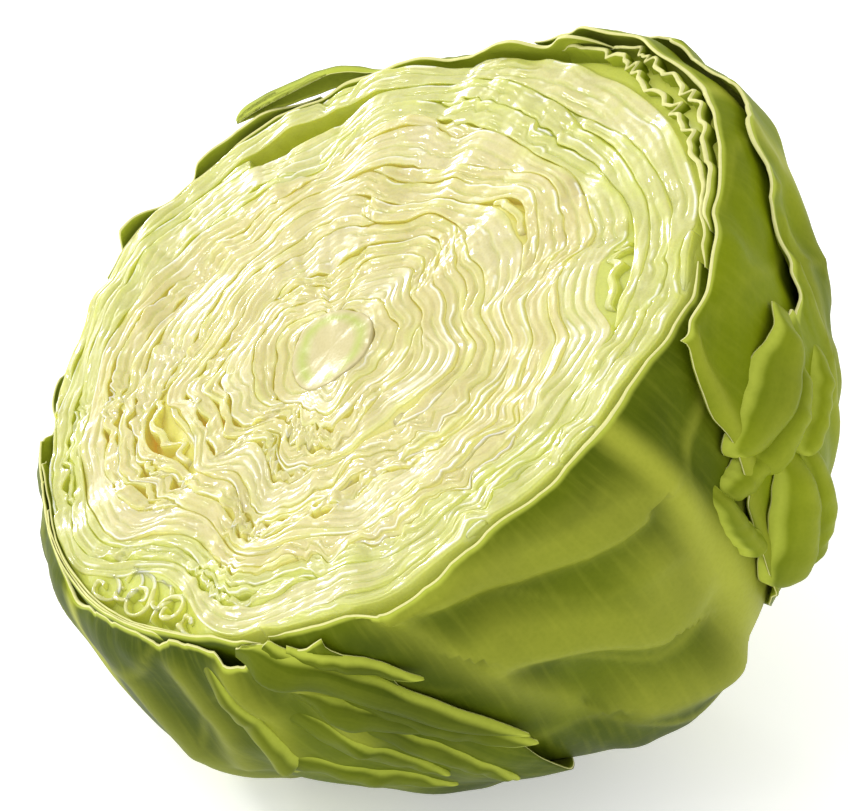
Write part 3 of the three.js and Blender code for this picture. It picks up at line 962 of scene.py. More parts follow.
@dataclass
class PackedLeaf:
    """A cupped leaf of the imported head, cut through at the face.

    Near its midrib it is one thick band. Away from it the blade is thinner, and where the head
    is crumpled a fold of it zigzags in the room that is left. A looser fold fills the pockets.

    Attributes:
        form: The head.
        k: The leaf's place, counted from the heart.
        gap: Gap between blades, in millimetres.
        fold: Thickness of a folded blade, in millimetres.
        step: Distance between columns on the cut face, in millimetres.
        tail: How far the leaf's columns run past its half span, in degrees.
        COIL_COLUMNS: Columns of a rolled margin.
        COIL_DEPTHS: Rows of its sides, in millimetres below its top.
        COIL_TOP: Rows of its rounded top, as angles.
    """

    form: HeadForm
    k: int
    gap: float = 0.1
    fold: float = 1.9
    step: float = 0.5
    tail: float = 7.0

    COIL_COLUMNS = 170
    COIL_DEPTHS = (8, 5.5, 3.5, 2, 1.1, 0.6)
    COIL_TOP = tuple(np.linspace(8, 172, 8))

    def grid(self) -> Array:
        """Thetas for the leaf's columns, a step apart on the cut face."""
        form = self.form
        midrib, half = form.packed_span(self.k)
        reach = half + self.tail
        share = mix(form.heart_share, form.packed_share, (self.k + 0.5) / form.leaves)
        count = int(2 * math.radians(reach) * share * form.radius / self.step) + 40
        return np.linspace(midrib - reach, midrib + reach, count)

    def strands(self) -> list[Strand]:
        """The leaf's blades, fitted into the room that it has."""
        form, k = self.form, self.k
        theta = self.grid()
        midrib, half = form.packed_span(k)
        lows, highs = form.stack(theta)
        low, high = lows[k], highs[k]
        arc = np.radians(theta) * (low + high) / 2 * form.radius
        room = (high - low) * form.radius
        off = np.abs(theta - midrib)
        rib = bump(off, 42)
        thin = smooth(off, 24, 48) * smooth(half - off, 0, 6)
        loose = thin * smooth(form.crumpled(low, theta) + 0.5 * waves(arc, 31 * k, 60), 0.6, 1.15)
        loose = loose * smooth(room, 2.2, 3.4) * smooth(k, 1, 5)
        share = mix(1.0, 0.58, loose)
        main = np.maximum(0.2, room * share - self.gap)
        rest = room - main - 1.5 * self.gap
        following = lows[k + 1] if k + 1 < form.leaves else high
        pocket = (following - high) * form.radius
        filled = np.zeros_like(theta)
        for p in form.pockets:
            if p.outside == k:
                filled = np.maximum(filled, p.filled * bump(turn(p.at, theta), p.width))
        packed = 0.45 * filled * pocket * (1 - loose)
        fill = 0.96 * (rest + pocket - packed) / form.radius
        blade = self.strand(theta, low, self.gap / 2, main + packed, rib, 0, 0.0)
        last = k + 1 == form.leaves
        strands = [replace(blade, fill=fill, loosen=0.95 if last else 0.0)]
        strands += fold_strands(self, theta, low, main + self.gap, rest, loose, 15.0, 1)
        present = smooth(filled * pocket, 0.3, 1)
        left = pocket - packed - 0.4
        strands += fold_strands(self, theta, high, 0.2 + packed, left, present, 19.0, 3)
        return strands

    def strand(
        self,
        theta: Array,
        low: Array,
        start: Number,
        thick: Array,
        rib: Array,
        which: int,
        sunk: Number,
    ) -> Strand:
        """A blade at a distance outwards from a share, of a thickness, both in millimetres."""
        form = self.form
        inner = low + start / form.radius
        outer = inner + thick / form.radius
        arc = np.radians(theta) * low * form.radius
        seed = 31 * self.k + 11 + 5 * which
        free = min(1, self.k / 2)
        sprung = sunk + free * (0.3 * waves(arc, seed, 36) + 0.12 * waves(arc, seed + 1, 12))
        slope = 0.35 * free * waves(arc, seed + 2, 28) * np.minimum(1, thick / 4)
        lifts = tuple(
            np.clip(form.relief(share, theta) + sprung + way * slope, -4.5, 0.9)
            for share, way in ((outer, 1), (inner, -1))
        )
        return Strand(theta, inner, outer, lifts, rib, seed + 1000)

    def scroll(self, curl: Curl) -> Surface:
        """The cut edge of a rolled margin.

        Its middle line is a spiral whose radius grows evenly with its angle from a fifth of
        the full one. A blade stands on that line, with a rounded top.

        Args:
            curl: Where and how large it is.

        Returns:
            The closed blade.
        """
        form = self.form
        at = np.array([curl.at])
        lows, highs = form.stack(at)
        share = (highs[self.k] + lows[self.k + 1]) / 2
        far = share * form.skin(at, 0 * at) + curl.off
        centre_x, centre_y = far * np.cos(np.radians(at)), far * np.sin(np.radians(at))
        s = np.linspace(0, 1, self.COIL_COLUMNS)[None, :]
        turned = math.radians(curl.start) + 2 * math.pi * curl.turns * s
        reach = curl.size * mix(0.2, 1.0, s) * (1 + 0.2 * np.sin(1.6 * turned + curl.start))
        swollen = 0.62 + 0.16 * waves(s * 40, int(curl.start), 13)
        half = 0.06 + swollen * smooth(np.minimum(s, 1 - s), 0, 0.1)
        depths = np.array(self.COIL_DEPTHS)[:, None]
        round_top = np.radians(self.COIL_TOP)[:, None]
        offset = np.concatenate([0 * depths + 1, np.cos(round_top), 0 * depths - 1])
        depth = np.concatenate([depths, 0.5 * (1 - np.sin(round_top)), depths[::-1]])
        x = centre_x + (reach + offset * half) * np.cos(turned)
        y = centre_y + (reach + offset * half) * np.sin(turned)
        theta = np.degrees(np.arctan2(y, x))
        share = np.hypot(x, y) / form.skin(theta, 0 * theta)
        rise = 0.35 * waves(s * 40, self.k + int(curl.at), 17) - 0.3
        points = form.place(share, theta, 0 * theta, form.relief(share, theta) + rise - depth)
        top = smooth(0.62 - depth, 0, 0.3)
        # Painted highlight: a glint along the scroll's rounded top, through the glint value.
        painted_glint_mask = smooth(waves(s * 60, self.k + 7, 24), 0.1, 0.4) * np.exp(-(((offset - 0.5) / 0.3) ** 2))
        under = np.maximum(0, depth - 0.5)
        tint, glint = 0.5 * (1 - top), 0.9 * painted_glint_mask * top
        return Surface(points, spread_over(theta, cut=top, depth=under, rib=0, tint=tint, glint=glint))

    def build(self, material: bpy.types.Material, slot: Slot) -> bpy.types.Object:
        """Makes the leaf's piece and puts it in the place of its CAD node."""
        name = f"leaf_{self.k + 1:02d}"
        surfaces = [strand.surface(self.form) for strand in self.strands()]
        surfaces += [self.scroll(curl) for curl in self.form.curls if curl.outside == self.k]
        piece = make_piece(name, surfaces)
        settle(piece, [f"head_{name}"], material)
        return piece


def as_wrapper(surface: Surface) -> Surface:
    """The same surface with the values that the wrapper leaves' material reads."""
    cut, depth, tint = (surface.values[key] for key in ("cut", "depth", "tint"))
    side = np.where(cut > 0.1, 0.5, np.where(tint > 0.7, 1.0, 0.0))
    values = spread_over(cut, side=side, depth=depth, vein=0, rib=0, across=0)
    return Surface(surface.points, values)


@dataclass
class WrapperLeaf:
    """A green wrapper leaf, draped over the head and the leaves beneath it.

    The numbers from 400 on, with its place added, pick its random waves.

    Attributes:
        form: The head.
        i: The leaf's place, counted outwards.
        vein_spacing: Distance between side veins along the midrib, in millimetres.
        vein_height: How far a side vein stands out, in millimetres.
        dents: How far its wide dents go in and out, in millimetres.
        COLUMNS: Columns of its grid.
        MARGIN_ROWS: Rows close to its margin, from 0 there to 1 at its lowest.
        LOWER_ROWS: How many rows follow.
        RIM_ANGLES: Rows round its thin edge, as angles.
        LOWEST_BETA: Beta of its lowest row.
        LOBE_ROWS: Rows across a lobe, from side to side.
        LOBE_COLUMNS: Columns from its root to its tip.
    """

    form: HeadForm
    i: int
    vein_spacing: float = 24.0
    vein_height: float = 0.7
    dents: float = 1.8

    COLUMNS = 190
    MARGIN_ROWS = (0, 0.004, 0.012, 0.025, 0.04, 0.06)
    LOWER_ROWS = 90
    RIM_ANGLES = (-60, -20, 20, 60)
    LOWEST_BETA = 84.0
    LOBE_ROWS = (-1, -0.97, -0.85, -0.6, -0.3, 0, 0.3, 0.6, 0.85, 0.97, 1)
    LOBE_COLUMNS = 44

    @property
    def plan(self) -> WrapperPlan:
        """Where the leaf lies."""
        return self.form.wrappers[self.i]

    def aside(self, theta: Array, beta: Array, steepest: float = 60) -> Array:
        """Distance from the midrib in millimetres, measured round the narrowing head."""
        x = np.radians(self.plan.near(theta) - self.plan.midrib) * self.form.radius
        return x * np.cos(np.radians(np.clip(beta - 10, 0, steepest)))

    def calm(self, share: Number, theta: Array, beta: Array) -> Array:
        """How free the leaf is to stand off: 0 where it is pressed to the floor, 1 well over it."""
        return smooth(self.form.unpressed(share, theta, beta, 0.0)[..., 2], 4, 14)

    def creases(self, theta: Array, beta: Array) -> Number:
        """The relief of the leaf's ridges, in millimetres."""
        return sum(r.at(self.plan.near(theta), beta, self.form.radius) for r in self.plan.ridges)

    def grid(self) -> tuple[Array, Array, Array]:
        """The leaf's columns from 0 to 1, and the theta and beta of each point of its grid."""
        plan = self.plan
        u = np.linspace(0, 1, self.COLUMNS)[None, :]
        lower = np.linspace(0.08, 1, self.LOWER_ROWS)
        v = np.concatenate([self.MARGIN_ROWS, lower])[:, None]
        top = mix(plan.start[0][1], plan.end[0][1], u)
        beta = mix(along(plan.top, top) + self.ragged(top), self.LOWEST_BETA, v)
        spread = mix(along(plan.start, beta), along(plan.end, beta), u)
        return u, mix(spread, plan.midrib, 0.3 * smooth(v, 0.5, 1)), beta

    def ragged(self, theta: Array) -> Array:
        """How far the torn or cut top edge dips, in degrees of beta."""
        if self.plan.ripple:
            lobes = np.maximum(0, waves(theta, 400 + self.i, 20))
            return 2.0 * lobes + 0.35 * np.maximum(0, waves(theta, 410 + self.i, 4.5))
        return 0.25 * np.maximum(0, waves(theta, 420 + self.i, 12))

    def veins(self, theta: Array, beta: Array) -> tuple[Array, Array]:
        """The relief of the midrib's branches and of the finer net between them.

        Side veins leave the midrib every vein_spacing and climb outwards; each is a ridge whose
        height falls with its distance from the midrib. Finer ones cross them.

        Args:
            theta: Angle round the head.
            beta: Angle below the cut.

        Returns:
            The relief from 0 to 1, and how near a point is to the midrib, from 0 to 1.
        """
        x = self.aside(theta, beta, 66)
        y = np.radians(86 - beta) * self.form.radius
        bend = 4.0 * waves(x, 500 + self.i, 60, 0.4 * y)
        climb = y - 0.75 * np.abs(x) ** 0.94 + bend + 7.5 * (x > 0)
        phase = climb / self.vein_spacing
        off = np.abs(phase - np.round(phase)) * self.vein_spacing
        side = bump(off, 3.4) * np.exp(-np.abs(x) / 40) * smooth(np.abs(x), 2, 12)
        net = 6.5
        fine_phase = (y + 0.9 * np.abs(x) + 1.5 * bend) / net
        fine = bump(np.abs(fine_phase - np.round(fine_phase)) * net, 1.2)
        fine = 0.07 * fine * smooth(np.abs(x), 6, 20)
        middle = bump(x, mix(6.0, 19.0, smooth(beta, 2, 60)))
        return np.maximum(side, fine), middle

    def surface(self) -> Surface:
        """The closed leaf: up its outer face, over its edge and down its inner face."""
        form, plan = self.form, self.plan
        u, theta, beta = self.grid()
        depth = (beta - beta[0]) * math.pi / 180 * form.radius
        skin = form.skin(theta, beta)
        below = form.wrapped(self.i, theta, beta) + form.wrapper_gap / skin
        across = self.aside(theta, beta)
        veins, middle = self.veins(theta, beta)
        sides = np.minimum(u, 1 - u) * (plan.end[0][1] - plan.start[0][1])
        thick = form.wrapper_thickness(plan, theta, beta)
        thick = thick * mix(0.45, 1, smooth(sides, 0, 6)) * mix(0.5, 1, smooth(depth, 0, 10))
        relief = self.vein_height * veins * smooth(depth, 0, 3)
        relief = relief * self.calm(below, theta, beta)
        sheet = below + (self.stands(theta, beta, across) + 0.5) / skin
        sunk = form.relief(below, theta) - 1.0
        level = (1 - smooth(beta, 1, 5)) * sunk * np.exp(-depth / 6)
        inner = form.place(sheet, theta, beta, level)
        outer = form.place(sheet + (thick + relief) / skin, theta, beta, level)
        turned = np.radians(np.array(self.RIM_ANGLES))[:, None]
        over = sheet[0] + (0.5 - 0.5 * np.sin(turned)) * thick[0] / skin[0]
        lip = (np.broadcast_to(angle[0], over.shape) for angle in (theta, beta))
        rim = form.place(over, *lip, level[0] + 0.5 * thick[0] * np.cos(turned))
        count = len(self.RIM_ANGLES)
        zero = np.zeros_like(beta)
        values = {"side": np.concatenate([zero[::-1] + 1, zero[:count] + 0.5, zero])}
        # Partly painted light: the crests of the creases take the pale vein colour, as light on the
        # billows' crests; where creases are ribs, the pale is their own.
        veins = np.maximum(veins, np.clip(zero + self.creases(theta, beta) / 2.5, 0, 1))
        common = spread_over(beta, depth=depth, vein=veins, rib=middle, across=across)
        for key, value in common.items():
            values[key] = np.concatenate([value[::-1], np.repeat(value[:1], count, axis=0), value])
        return Surface(np.concatenate([outer[::-1], rim, inner]), values)

    def stands(self, theta: Array, beta: Array, across: Array) -> Array:
        """How far the leaf stands off what it is draped over, in millimetres.

        That is its rippled margin, its creases and dents, and the looseness of the whole side.

        Args:
            theta: Angle round the head.
            beta: Angle below the cut.
            across: Distance from the midrib, in millimetres.

        Returns:
            The distance.
        """
        form, plan = self.form, self.plan
        depth = np.radians(beta - along(plan.top, plan.near(theta))) * form.radius
        torn = smooth(beta, 1, 4) if plan.ripple else 0.0
        ripples = 0.5 + 0.5 * waves(across, 430 + self.i, 24, depth)
        flare = plan.ripple * torn * np.exp(-np.maximum(0, depth) / 13) * ripples
        dents = self.dents * cloud(across, depth, 440 + self.i, 52) * smooth(depth, 0, 14)
        fine = 0.35 * cloud(across, depth, 450 + self.i, 20) * smooth(depth, 0, 8)
        calm = self.calm(form.packed_share, theta, beta)
        lifted = sum(swell.at(theta, beta) for swell in form.loose_swells)
        covers = [leaf.presence(theta, beta) for leaf in form.wrappers[self.i + 1 :]]
        free = 1 - np.maximum.reduce(covers) if covers else 1.0
        return flare * free + lifted + (dents + fine + self.creases(theta, beta)) * calm * free

    def plies(self) -> list[Surface]:
        """Crumpled inner margins, where the leaf stands off the head: green folded strands."""
        form, shallow, per_degree = self.form, 3.0, 3.2
        surfaces = []
        for number, (first, last, start, room, length) in enumerate(self.plan.plies):
            theta = np.linspace(first, last, int((last - first) * per_degree))
            beta = shallow + 0 * theta
            skin = form.skin(theta, beta)
            low = form.wrapped(self.i, theta, beta)
            gap = sum(swell.at(theta, shallow) for swell in form.loose_swells) + form.wrapper_gap
            rest = np.maximum(0.6, gap * room)
            present = smooth(np.minimum(theta - first, last - theta), 0, 8)
            helper = PackedLeaf(form, 40 + 5 * self.i + number, fold=0.95)
            begin = gap * start * form.radius / skin
            for fold in fold_strands(helper, theta, low, begin, rest, present, length, number):
                inwards = fold.inner - (form.packed_share - 0.012)
                strand = replace(fold, tuck=inwards, lifts=tuple(x + 0.8 for x in fold.lifts))
                surfaces.append(as_wrapper(strand.surface(form)))
        return surfaces

    def tongue(self, tongue: Tongue, seed: int) -> Surface:
        """A closed lobe along a bent line, arched across, with a rounded tip and wavy sides.

        A round one keeps its width up to a half circle at its tip. The half width of a pointed
        one is the full one times (1 - t^2)^0.8. Both are narrower at the root.

        Args:
            tongue: Its line and sizes.
            seed: Picks its waves.

        Returns:
            The lobe.
        """
        form = self.form
        t = (1 - (1 - np.linspace(0, 1, self.LOBE_COLUMNS)) ** 1.3)[None, :]
        across = np.array(self.LOBE_ROWS)[:, None]
        root, bend, tip = (np.array(p)[:, None, None] for p in tongue.line)
        theta, beta, rise = (1 - t) ** 2 * root + 2 * t * (1 - t) * bend + t**2 * tip
        ahead = 2 * (1 - t) * (bend - root) + 2 * t * (tip - bend)
        scale = math.radians(form.radius)
        shrink = np.cos(np.radians(np.clip(beta, 0, 70)))
        along_theta, along_beta = ahead[0] * scale * shrink, ahead[1] * scale
        length = np.hypot(along_theta, along_beta)
        reach = float(np.mean(length))
        if tongue.pointed:
            narrow = np.maximum(0.004, 1 - t**2) ** 0.8
        else:
            end = np.clip(1 - (1 - t) * 2 * reach / tongue.width, 0, 1)
            narrow = np.sqrt(np.maximum(0.003, 1 - end**2))
        half = 0.5 * tongue.width * narrow * mix(0.6, 1, smooth(t, 0, 0.5))
        run = t * 45
        half = half * (1 + 0.07 * waves(run, seed, 13) * np.sign(across))
        theta = theta - across * half * along_beta / length / (scale * shrink)
        beta = np.clip(beta + across * half * along_theta / length / scale, 0.5, 82)
        skin = form.skin(theta, beta)
        below = form.wrapped(len(form.wrappers), theta, beta)
        domed = (1 - across**2) ** 0.5
        free = 0.8 * smooth(t, 0.6, 0.95) * tongue.pointed
        crumple = 0.25 * waves(run, seed + 1, 12, 3 * across) * domed
        arch = tongue.arch * smooth(t, 0, 0.35) * narrow
        tall = (rise * narrow**0.5 + arch) * domed + crumple + free - 0.9
        sunk = 0.8 * (1 - smooth(t, 0, 0.25))
        tall = self.stands(theta, beta, self.aside(theta, beta)) + tall - sunk
        thick = tongue.thick * mix(0.5, 1, smooth(1 - np.abs(across), 0, 0.4))
        outer = form.place(below + (tall + thick) / skin, theta, beta)
        inner = form.place(below + tall / skin, theta, beta)
        # Painted highlight: the rib value makes the middle of a lobe paler, as light on its arched top,
        # most on the round lobes.
        pale = 0.1 if tongue.pointed else 0.4
        depth = 1.5 * np.minimum(reach * (1 - t), half * (1 - np.abs(across)))
        middle = pale * (1 - np.abs(across))
        front = spread_over(theta, side=1, depth=depth, vein=0, rib=middle, across=across * half)
        back = spread_over(theta, side=0, depth=depth, vein=0, rib=0, across=across * half)
        values = {key: np.concatenate([back[key], front[key][::-1]]) for key in front}
        return Surface(np.concatenate([inner, outer[::-1]]), values)

    def build(self, material: bpy.types.Material) -> bpy.types.Object:
        """Makes the leaf's piece and puts it in the place of its CAD node."""
        name = f"wrapper_{self.i + 1}"
        first = 600 + 20 * self.i
        lobes = [self.tongue(t, first + n) for n, t in enumerate(self.plan.tongues)]
        piece = make_piece(name, [self.surface(), *lobes, *self.plies()])
        settle(piece, [f"wrapper_leaf_{self.i + 1}"], material)
        return piece


@dataclass
class Core:
    """The pithy core, from its pale oval on the cut face down to the cut stump.

    Attributes:
        form: The head.
        TOP: Rows of the cut face, as parts of its radius.
        STUMP: The same for the cut stump.
        COLUMNS: Columns round it, the last of them on the first.
        ROWS: Rows of its side.
    """

    form: HeadForm

    TOP = (0.02, 0.25, 0.5, 0.65, 0.8, 0.9, 0.97, 1.0)
    STUMP = (1.0, 0.93, 0.8, 0.6, 0.35, 0.02)
    COLUMNS = 97
    ROWS = 60

    def surface(self) -> Surface:
        """A lathed cone that leans with the head, closed over both cut ends."""
        form = self.form
        end = form.cut_height + form.radius + form.stump_length
        theta = np.linspace(0, 360, self.COLUMNS)[None, :]
        top = np.array(self.TOP)[:, None]
        depths = np.linspace(1.0, end - 0.6, self.ROWS)[:, None]
        bottom = np.array(self.STUMP)[:, None] + 0 * theta
        heart = (form.heart_share + 0.003) * form.skin(theta, 0 * theta)
        pith = mix(heart, form.core_radius(depths), smooth(depths, 2, 22))
        radius = np.concatenate([heart * top, pith, (form.core_at_base - 0.6) * bottom])
        level = form.relief(form.heart_share * top, theta) + 0.25 + 0.3 * (1 - top**4)
        rim = form.relief(form.heart_share, theta) * np.exp(-depths / 5)
        depth = np.concatenate([-level, depths + 0.3 - rim, end - 0.3 + 0 * bottom])
        shift = np.clip(1 - depth / (form.cut_height + form.radius), 0, 1)
        x = radius * np.cos(np.radians(theta)) + form.core_offset[0] * shift
        y = radius * np.sin(np.radians(theta)) + form.core_offset[1] * shift
        z = -depth + 0.12 * cloud(x, y, 3, 4) * (depth < 3)
        rotation, origin = form.to_world()
        points = np.stack(np.broadcast_arrays(x, y, z), axis=-1) @ rotation.T + origin
        return Surface(points, spread_over(points[..., 0], depth=depth, radius=radius / heart))

    def build(self, material: bpy.types.Material) -> bpy.types.Object:
        """Makes the core's piece and puts it in the place of its CAD node."""
        surface = self.surface()
        rows, columns = surface.points.shape[:2]
        index = np.arange(rows * (columns - 1)).reshape(rows, columns - 1)
        right = np.roll(index, -1, axis=1)
        faces = np.stack([index[:-1], index[1:], right[1:], right[:-1]], -1).reshape(-1, 4)
        co = surface.points[:, :-1].reshape(-1, 3) * METRES
        mesh = bpy.data.meshes.new("core_pith")
        rings = [list(map(int, index[0])), list(map(int, index[-1][::-1]))]
        mesh.from_pydata(co.tolist(), [], faces.tolist() + rings)
        for key, value in surface.values.items():
            store(mesh, key, value[:, :-1])
        mesh.polygons.foreach_set("use_smooth", np.ones(len(mesh.polygons), bool))
        mesh.update()
        piece = link("core_pith", mesh)
        settle(piece, ["core"], material)
        return piece


# Finishes


class NodeTree:
    """A small hand for laying out shader nodes."""

    def __init__(self, tree: bpy.types.NodeTree) -> None:
        """Starts on an empty tree."""
        self.tree = tree
        tree.nodes.clear()

    def add(self, kind: str, inputs: dict | None = None, **settings: object) -> bpy.types.Node:
        """Adds a node.

        Args:
            kind: The node's type.
            inputs: For each input's name or number, its value or the socket that feeds it.
            **settings: The node's own properties.

        Returns:
            The new node.
        """
        node = self.tree.nodes.new(kind)
        for key, value in settings.items():
            setattr(node, key, value)
        for key, value in (inputs or {}).items():
            if isinstance(value, Socket):
                self.tree.links.new(value, node.inputs[key])
            else:
                node.inputs[key].default_value = value
        return node

    def value(self, name: str) -> Socket:
        """A point attribute of the piece, as a number."""
        return self.add("ShaderNodeAttribute", attribute_name=name).outputs["Fac"]

    def ramp(self, factor: Socket, *stops: tuple[float, Colour]) -> Socket:
        """A colour ramp over a number, with (place, colour) stops."""
        node = self.add("ShaderNodeValToRGB", {"Fac": factor})
        elements = node.color_ramp.elements
        while len(elements) < len(stops):
            elements.new(0.5)
        for element, (place, colour) in zip(elements, stops):
            element.position = place
            element.color = (*colour, 1)
        return node.outputs["Color"]

    def blend(
        self, factor: Socket | float, a: Socket | Colour, b: Socket | Colour, mode: str = "MIX"
    ) -> Socket:
        """A mix of two colours."""
        a, b = (x if isinstance(x, Socket) else (*x, 1) for x in (a, b))
        inputs = {0: factor, 6: a, 7: b}
        return self.add("ShaderNodeMix", inputs, data_type="RGBA", blend_type=mode).outputs[2]

    def math(self, operation: str, *inputs: Socket | float) -> Socket:
        """A sum, product or other operation on numbers."""
        return self.add("ShaderNodeMath", dict(enumerate(inputs)), operation=operation).outputs[0]

    def remap(
        self, value: Socket, low: float, high: float, to: tuple[float, float] = (0, 1)
    ) -> Socket:
        """A number's range carried smoothly to another, and held at its ends."""
        inputs = {"Value": value, "From Min": low, "From Max": high, "To Min": to[0], "To Max": to[1]}
        node = self.add("ShaderNodeMapRange", inputs, interpolation_type="SMOOTHSTEP")
        return node.outputs["Result"]

    def noise(
        self, scale: float, detail: float = 3.0, vector: Socket | None = None
    ) -> Socket:
        """Soft noise on the piece's own coordinates, which are in metres."""
        source = vector or self.add("ShaderNodeTexCoord").outputs["Object"]
        inputs = {"Vector": source, "Scale": scale, "Detail": detail}
        return self.add("ShaderNodeTexNoise", inputs).outputs["Fac"]


def moist_grain() -> bpy.types.NodeTree:
    """A shared effect: the fine speckle of moist cut plant tissue.

    Returns:
        A group that puts out a tint from 0 to 1 and a height.
    """
    group = bpy.data.node_groups.new("moist_grain", "ShaderNodeTree")
    for name, way in (("Scale", "INPUT"), ("Tint", "OUTPUT"), ("Height", "OUTPUT")):
        group.interface.new_socket(name, in_out=way, socket_type="NodeSocketFloat")
    tree = NodeTree(group)
    entry = tree.add("NodeGroupInput")
    place = tree.add("ShaderNodeTexCoord").outputs["Object"]
    cells = tree.add("ShaderNodeTexVoronoi", {"Vector": place, "Scale": entry.outputs["Scale"]})
    wide = tree.math("MULTIPLY", entry.outputs["Scale"], 0.3)
    cloud = tree.add("ShaderNodeTexNoise", {"Vector": place, "Scale": wide, "Detail": 4.0})
    tint = tree.math("MULTIPLY", cells.outputs["Distance"], 0.5)
    tint = tree.math("ADD", tint, tree.math("MULTIPLY", cloud.outputs["Fac"], 0.5))
    tree.add("NodeGroupOutput", {"Tint": tint, "Height": tint})
    return group


@dataclass(frozen=True)
class Finish:
    """What every finish shares: a fine speck in the colour's tone and in the surface's relief.

    Attributes:
        name: The material's name.
        SPECKS: How fine the speck is, as a scale.
        RELIEF: How strong its relief is.
        RELIEF_DEPTH: How deep its relief is, in metres.
        SHADE: What its darkest places multiply the colour by.
    """

    name: str

    SPECKS = 1500.0
    RELIEF = 0.18
    SHADE = (0.9, 0.9, 0.86)
    RELIEF_DEPTH = 0.0004

    def look(self, tree: NodeTree) -> Look:
        """Lays out the base colour.

        Args:
            tree: Where to lay it out.

        Returns:
            The colour, and the shader's other inputs.
        """
        raise NotImplementedError

    def material(self, grain: bpy.types.NodeTree) -> bpy.types.Material:
        """Builds the material, with the speck of the shared effect."""
        material = bpy.data.materials.new(self.name)
        material.use_nodes = True
        tree = NodeTree(material.node_tree)
        speck = tree.add("ShaderNodeGroup", {"Scale": self.SPECKS}, node_tree=grain)
        colour, inputs = self.look(tree)
        shade = tree.ramp(speck.outputs["Tint"], (0.1, self.SHADE), (0.6, (1, 1, 1)))
        height = {"Height": speck.outputs["Height"], "Distance": self.RELIEF_DEPTH}
        relief = {**height, "Strength": self.RELIEF}
        inputs["Normal"] = tree.add("ShaderNodeBump", relief).outputs["Normal"]
        inputs["Base Color"] = tree.blend(1.0, colour, shade, "MULTIPLY")
        shader = tree.add("ShaderNodeBsdfPrincipled", inputs)
        tree.add("ShaderNodeOutputMaterial", {"Surface": shader.outputs["BSDF"]})
        return material


@dataclass(frozen=True)
class LeafFinish(Finish):
    """A packed leaf's finish: a moist cut edge, and faces that turn golden further down.

    The faces in the gaps have a small painted glow, for daylight seeping through the thin leaves.

    Attributes:
        cut: Colour of the cut edge.
        rib: Colour of the cut midrib.
        groove: Colour of the leaf's faces just below the cut.
        deep: Colour of the faces deep in the gaps, and of their painted glow.
    """

    cut: Colour
    rib: Colour
    groove: Colour = (0.64, 0.63, 0.19)
    deep: Colour = (0.86, 0.66, 0.15)

    # Painted highlight: the pale colour of the glints on the cut edges.
    GLINT = (0.94, 0.93, 0.78)
    # Strength of the painted glow in the gaps.
    GLOW = 0.16

    def look(self, tree: NodeTree) -> Look:
        """Lays out the colours of cut edge, midrib, faces and glints, and the glow in the gaps."""
        cloud = tree.noise(160.0)
        depth = tree.math("ADD", tree.value("depth"), tree.math("MULTIPLY", cloud, 1.5))
        down = tree.remap(depth, 0.0, 16.0)
        face = tree.ramp(down, (0.0, self.groove), (0.1, self.groove), (0.4, self.deep))
        band = tree.blend(tree.value("rib"), self.cut, self.rib)
        patch = tree.remap(cloud, 0.5, 0.75, (0.0, 0.35))
        stain = tree.math("MULTIPLY_ADD", tree.value("tint"), 0.85, patch)
        band = tree.blend(tree.math("MINIMUM", stain, 1.0), band, self.groove)
        colour = tree.blend(tree.remap(tree.value("cut"), 0.0, 1.0), face, band)
        # Painted highlight: the glint value turns the colour to the pale glint colour.
        colour = tree.blend(tree.value("glint"), colour, self.GLINT)
        # Painted glow: the faces under the cut edge emit light in the deep colour.
        painted_glow = tree.blend(tree.remap(tree.value("cut"), 0.0, 0.6), self.deep, (0, 0, 0))
        return colour, {
            "Roughness": 0.4,
            "Subsurface Weight": 0.55,
            "Subsurface Radius": (0.004, 0.0035, 0.0015),
            "Subsurface Scale": 1.0,
            "Coat Weight": 0.8,
            "Coat Roughness": 0.07,
            "Emission Color": painted_glow,
            "Emission Strength": self.GLOW,
        }


@dataclass(frozen=True)
class WrapperFinish(Finish):
    """A wrapper leaf's finish: waxy green with paler ribs and veins.

    Attributes:
        green: Colour of the blade.
        dark: Colour of its darker clouds.
        pale: Colour of the midrib and veins.
        rim: Colour of the blade close to its margin.
        edge: Colour of the margin's own thin edge.
    """

    green: Colour = (0.20, 0.25, 0.003)
    dark: Colour = (0.115, 0.155, 0.002)
    pale: Colour = (0.40, 0.425, 0.045)
    rim: Colour = (0.46, 0.52, 0.06)
    edge: Colour = (0.72, 0.70, 0.30)

    SPECKS = 900.0
    RELIEF = 0.12
    SHADE = (0.9, 0.92, 0.84)

    def look(self, tree: NodeTree) -> Look:
        """Lays out the blade, its fibres, veins and midrib, its margin and its paler inside."""
        blade = tree.blend(tree.remap(tree.noise(24.0), 0.35, 0.65), self.green, self.dark)
        fan = {
            "X": tree.math("MULTIPLY", tree.value("across"), 0.55),
            "Y": tree.math("MULTIPLY", tree.value("depth"), 0.05),
        }
        fan_out = tree.add("ShaderNodeCombineXYZ", fan).outputs["Vector"]
        fibre = tree.remap(tree.noise(1.0, 3.0, fan_out), 0.45, 0.7, (0.0, 0.08))
        vein = tree.math("MULTIPLY", tree.value("vein"), 0.5)
        colour = tree.blend(vein, tree.blend(fibre, blade, self.pale), self.pale)
        colour = tree.blend(tree.math("MULTIPLY", tree.value("rib"), 0.8), colour, self.pale)
        margin = tree.remap(tree.value("depth"), 0.2, 1.8, (0.9, 0.0))
        inside = tree.remap(tree.value("side"), 0.1, 0.4, (0.75, 0.0))
        colour = tree.blend(inside, tree.blend(margin, colour, self.rim), self.rim)
        beside = tree.math("ABSOLUTE", tree.math("SUBTRACT", tree.value("side"), 0.5))
        colour = tree.blend(tree.remap(beside, 0.1, 0.3, (1.0, 0.0)), colour, self.edge)
        return colour, {"Roughness": 0.5, "Specular IOR Level": 0.06}


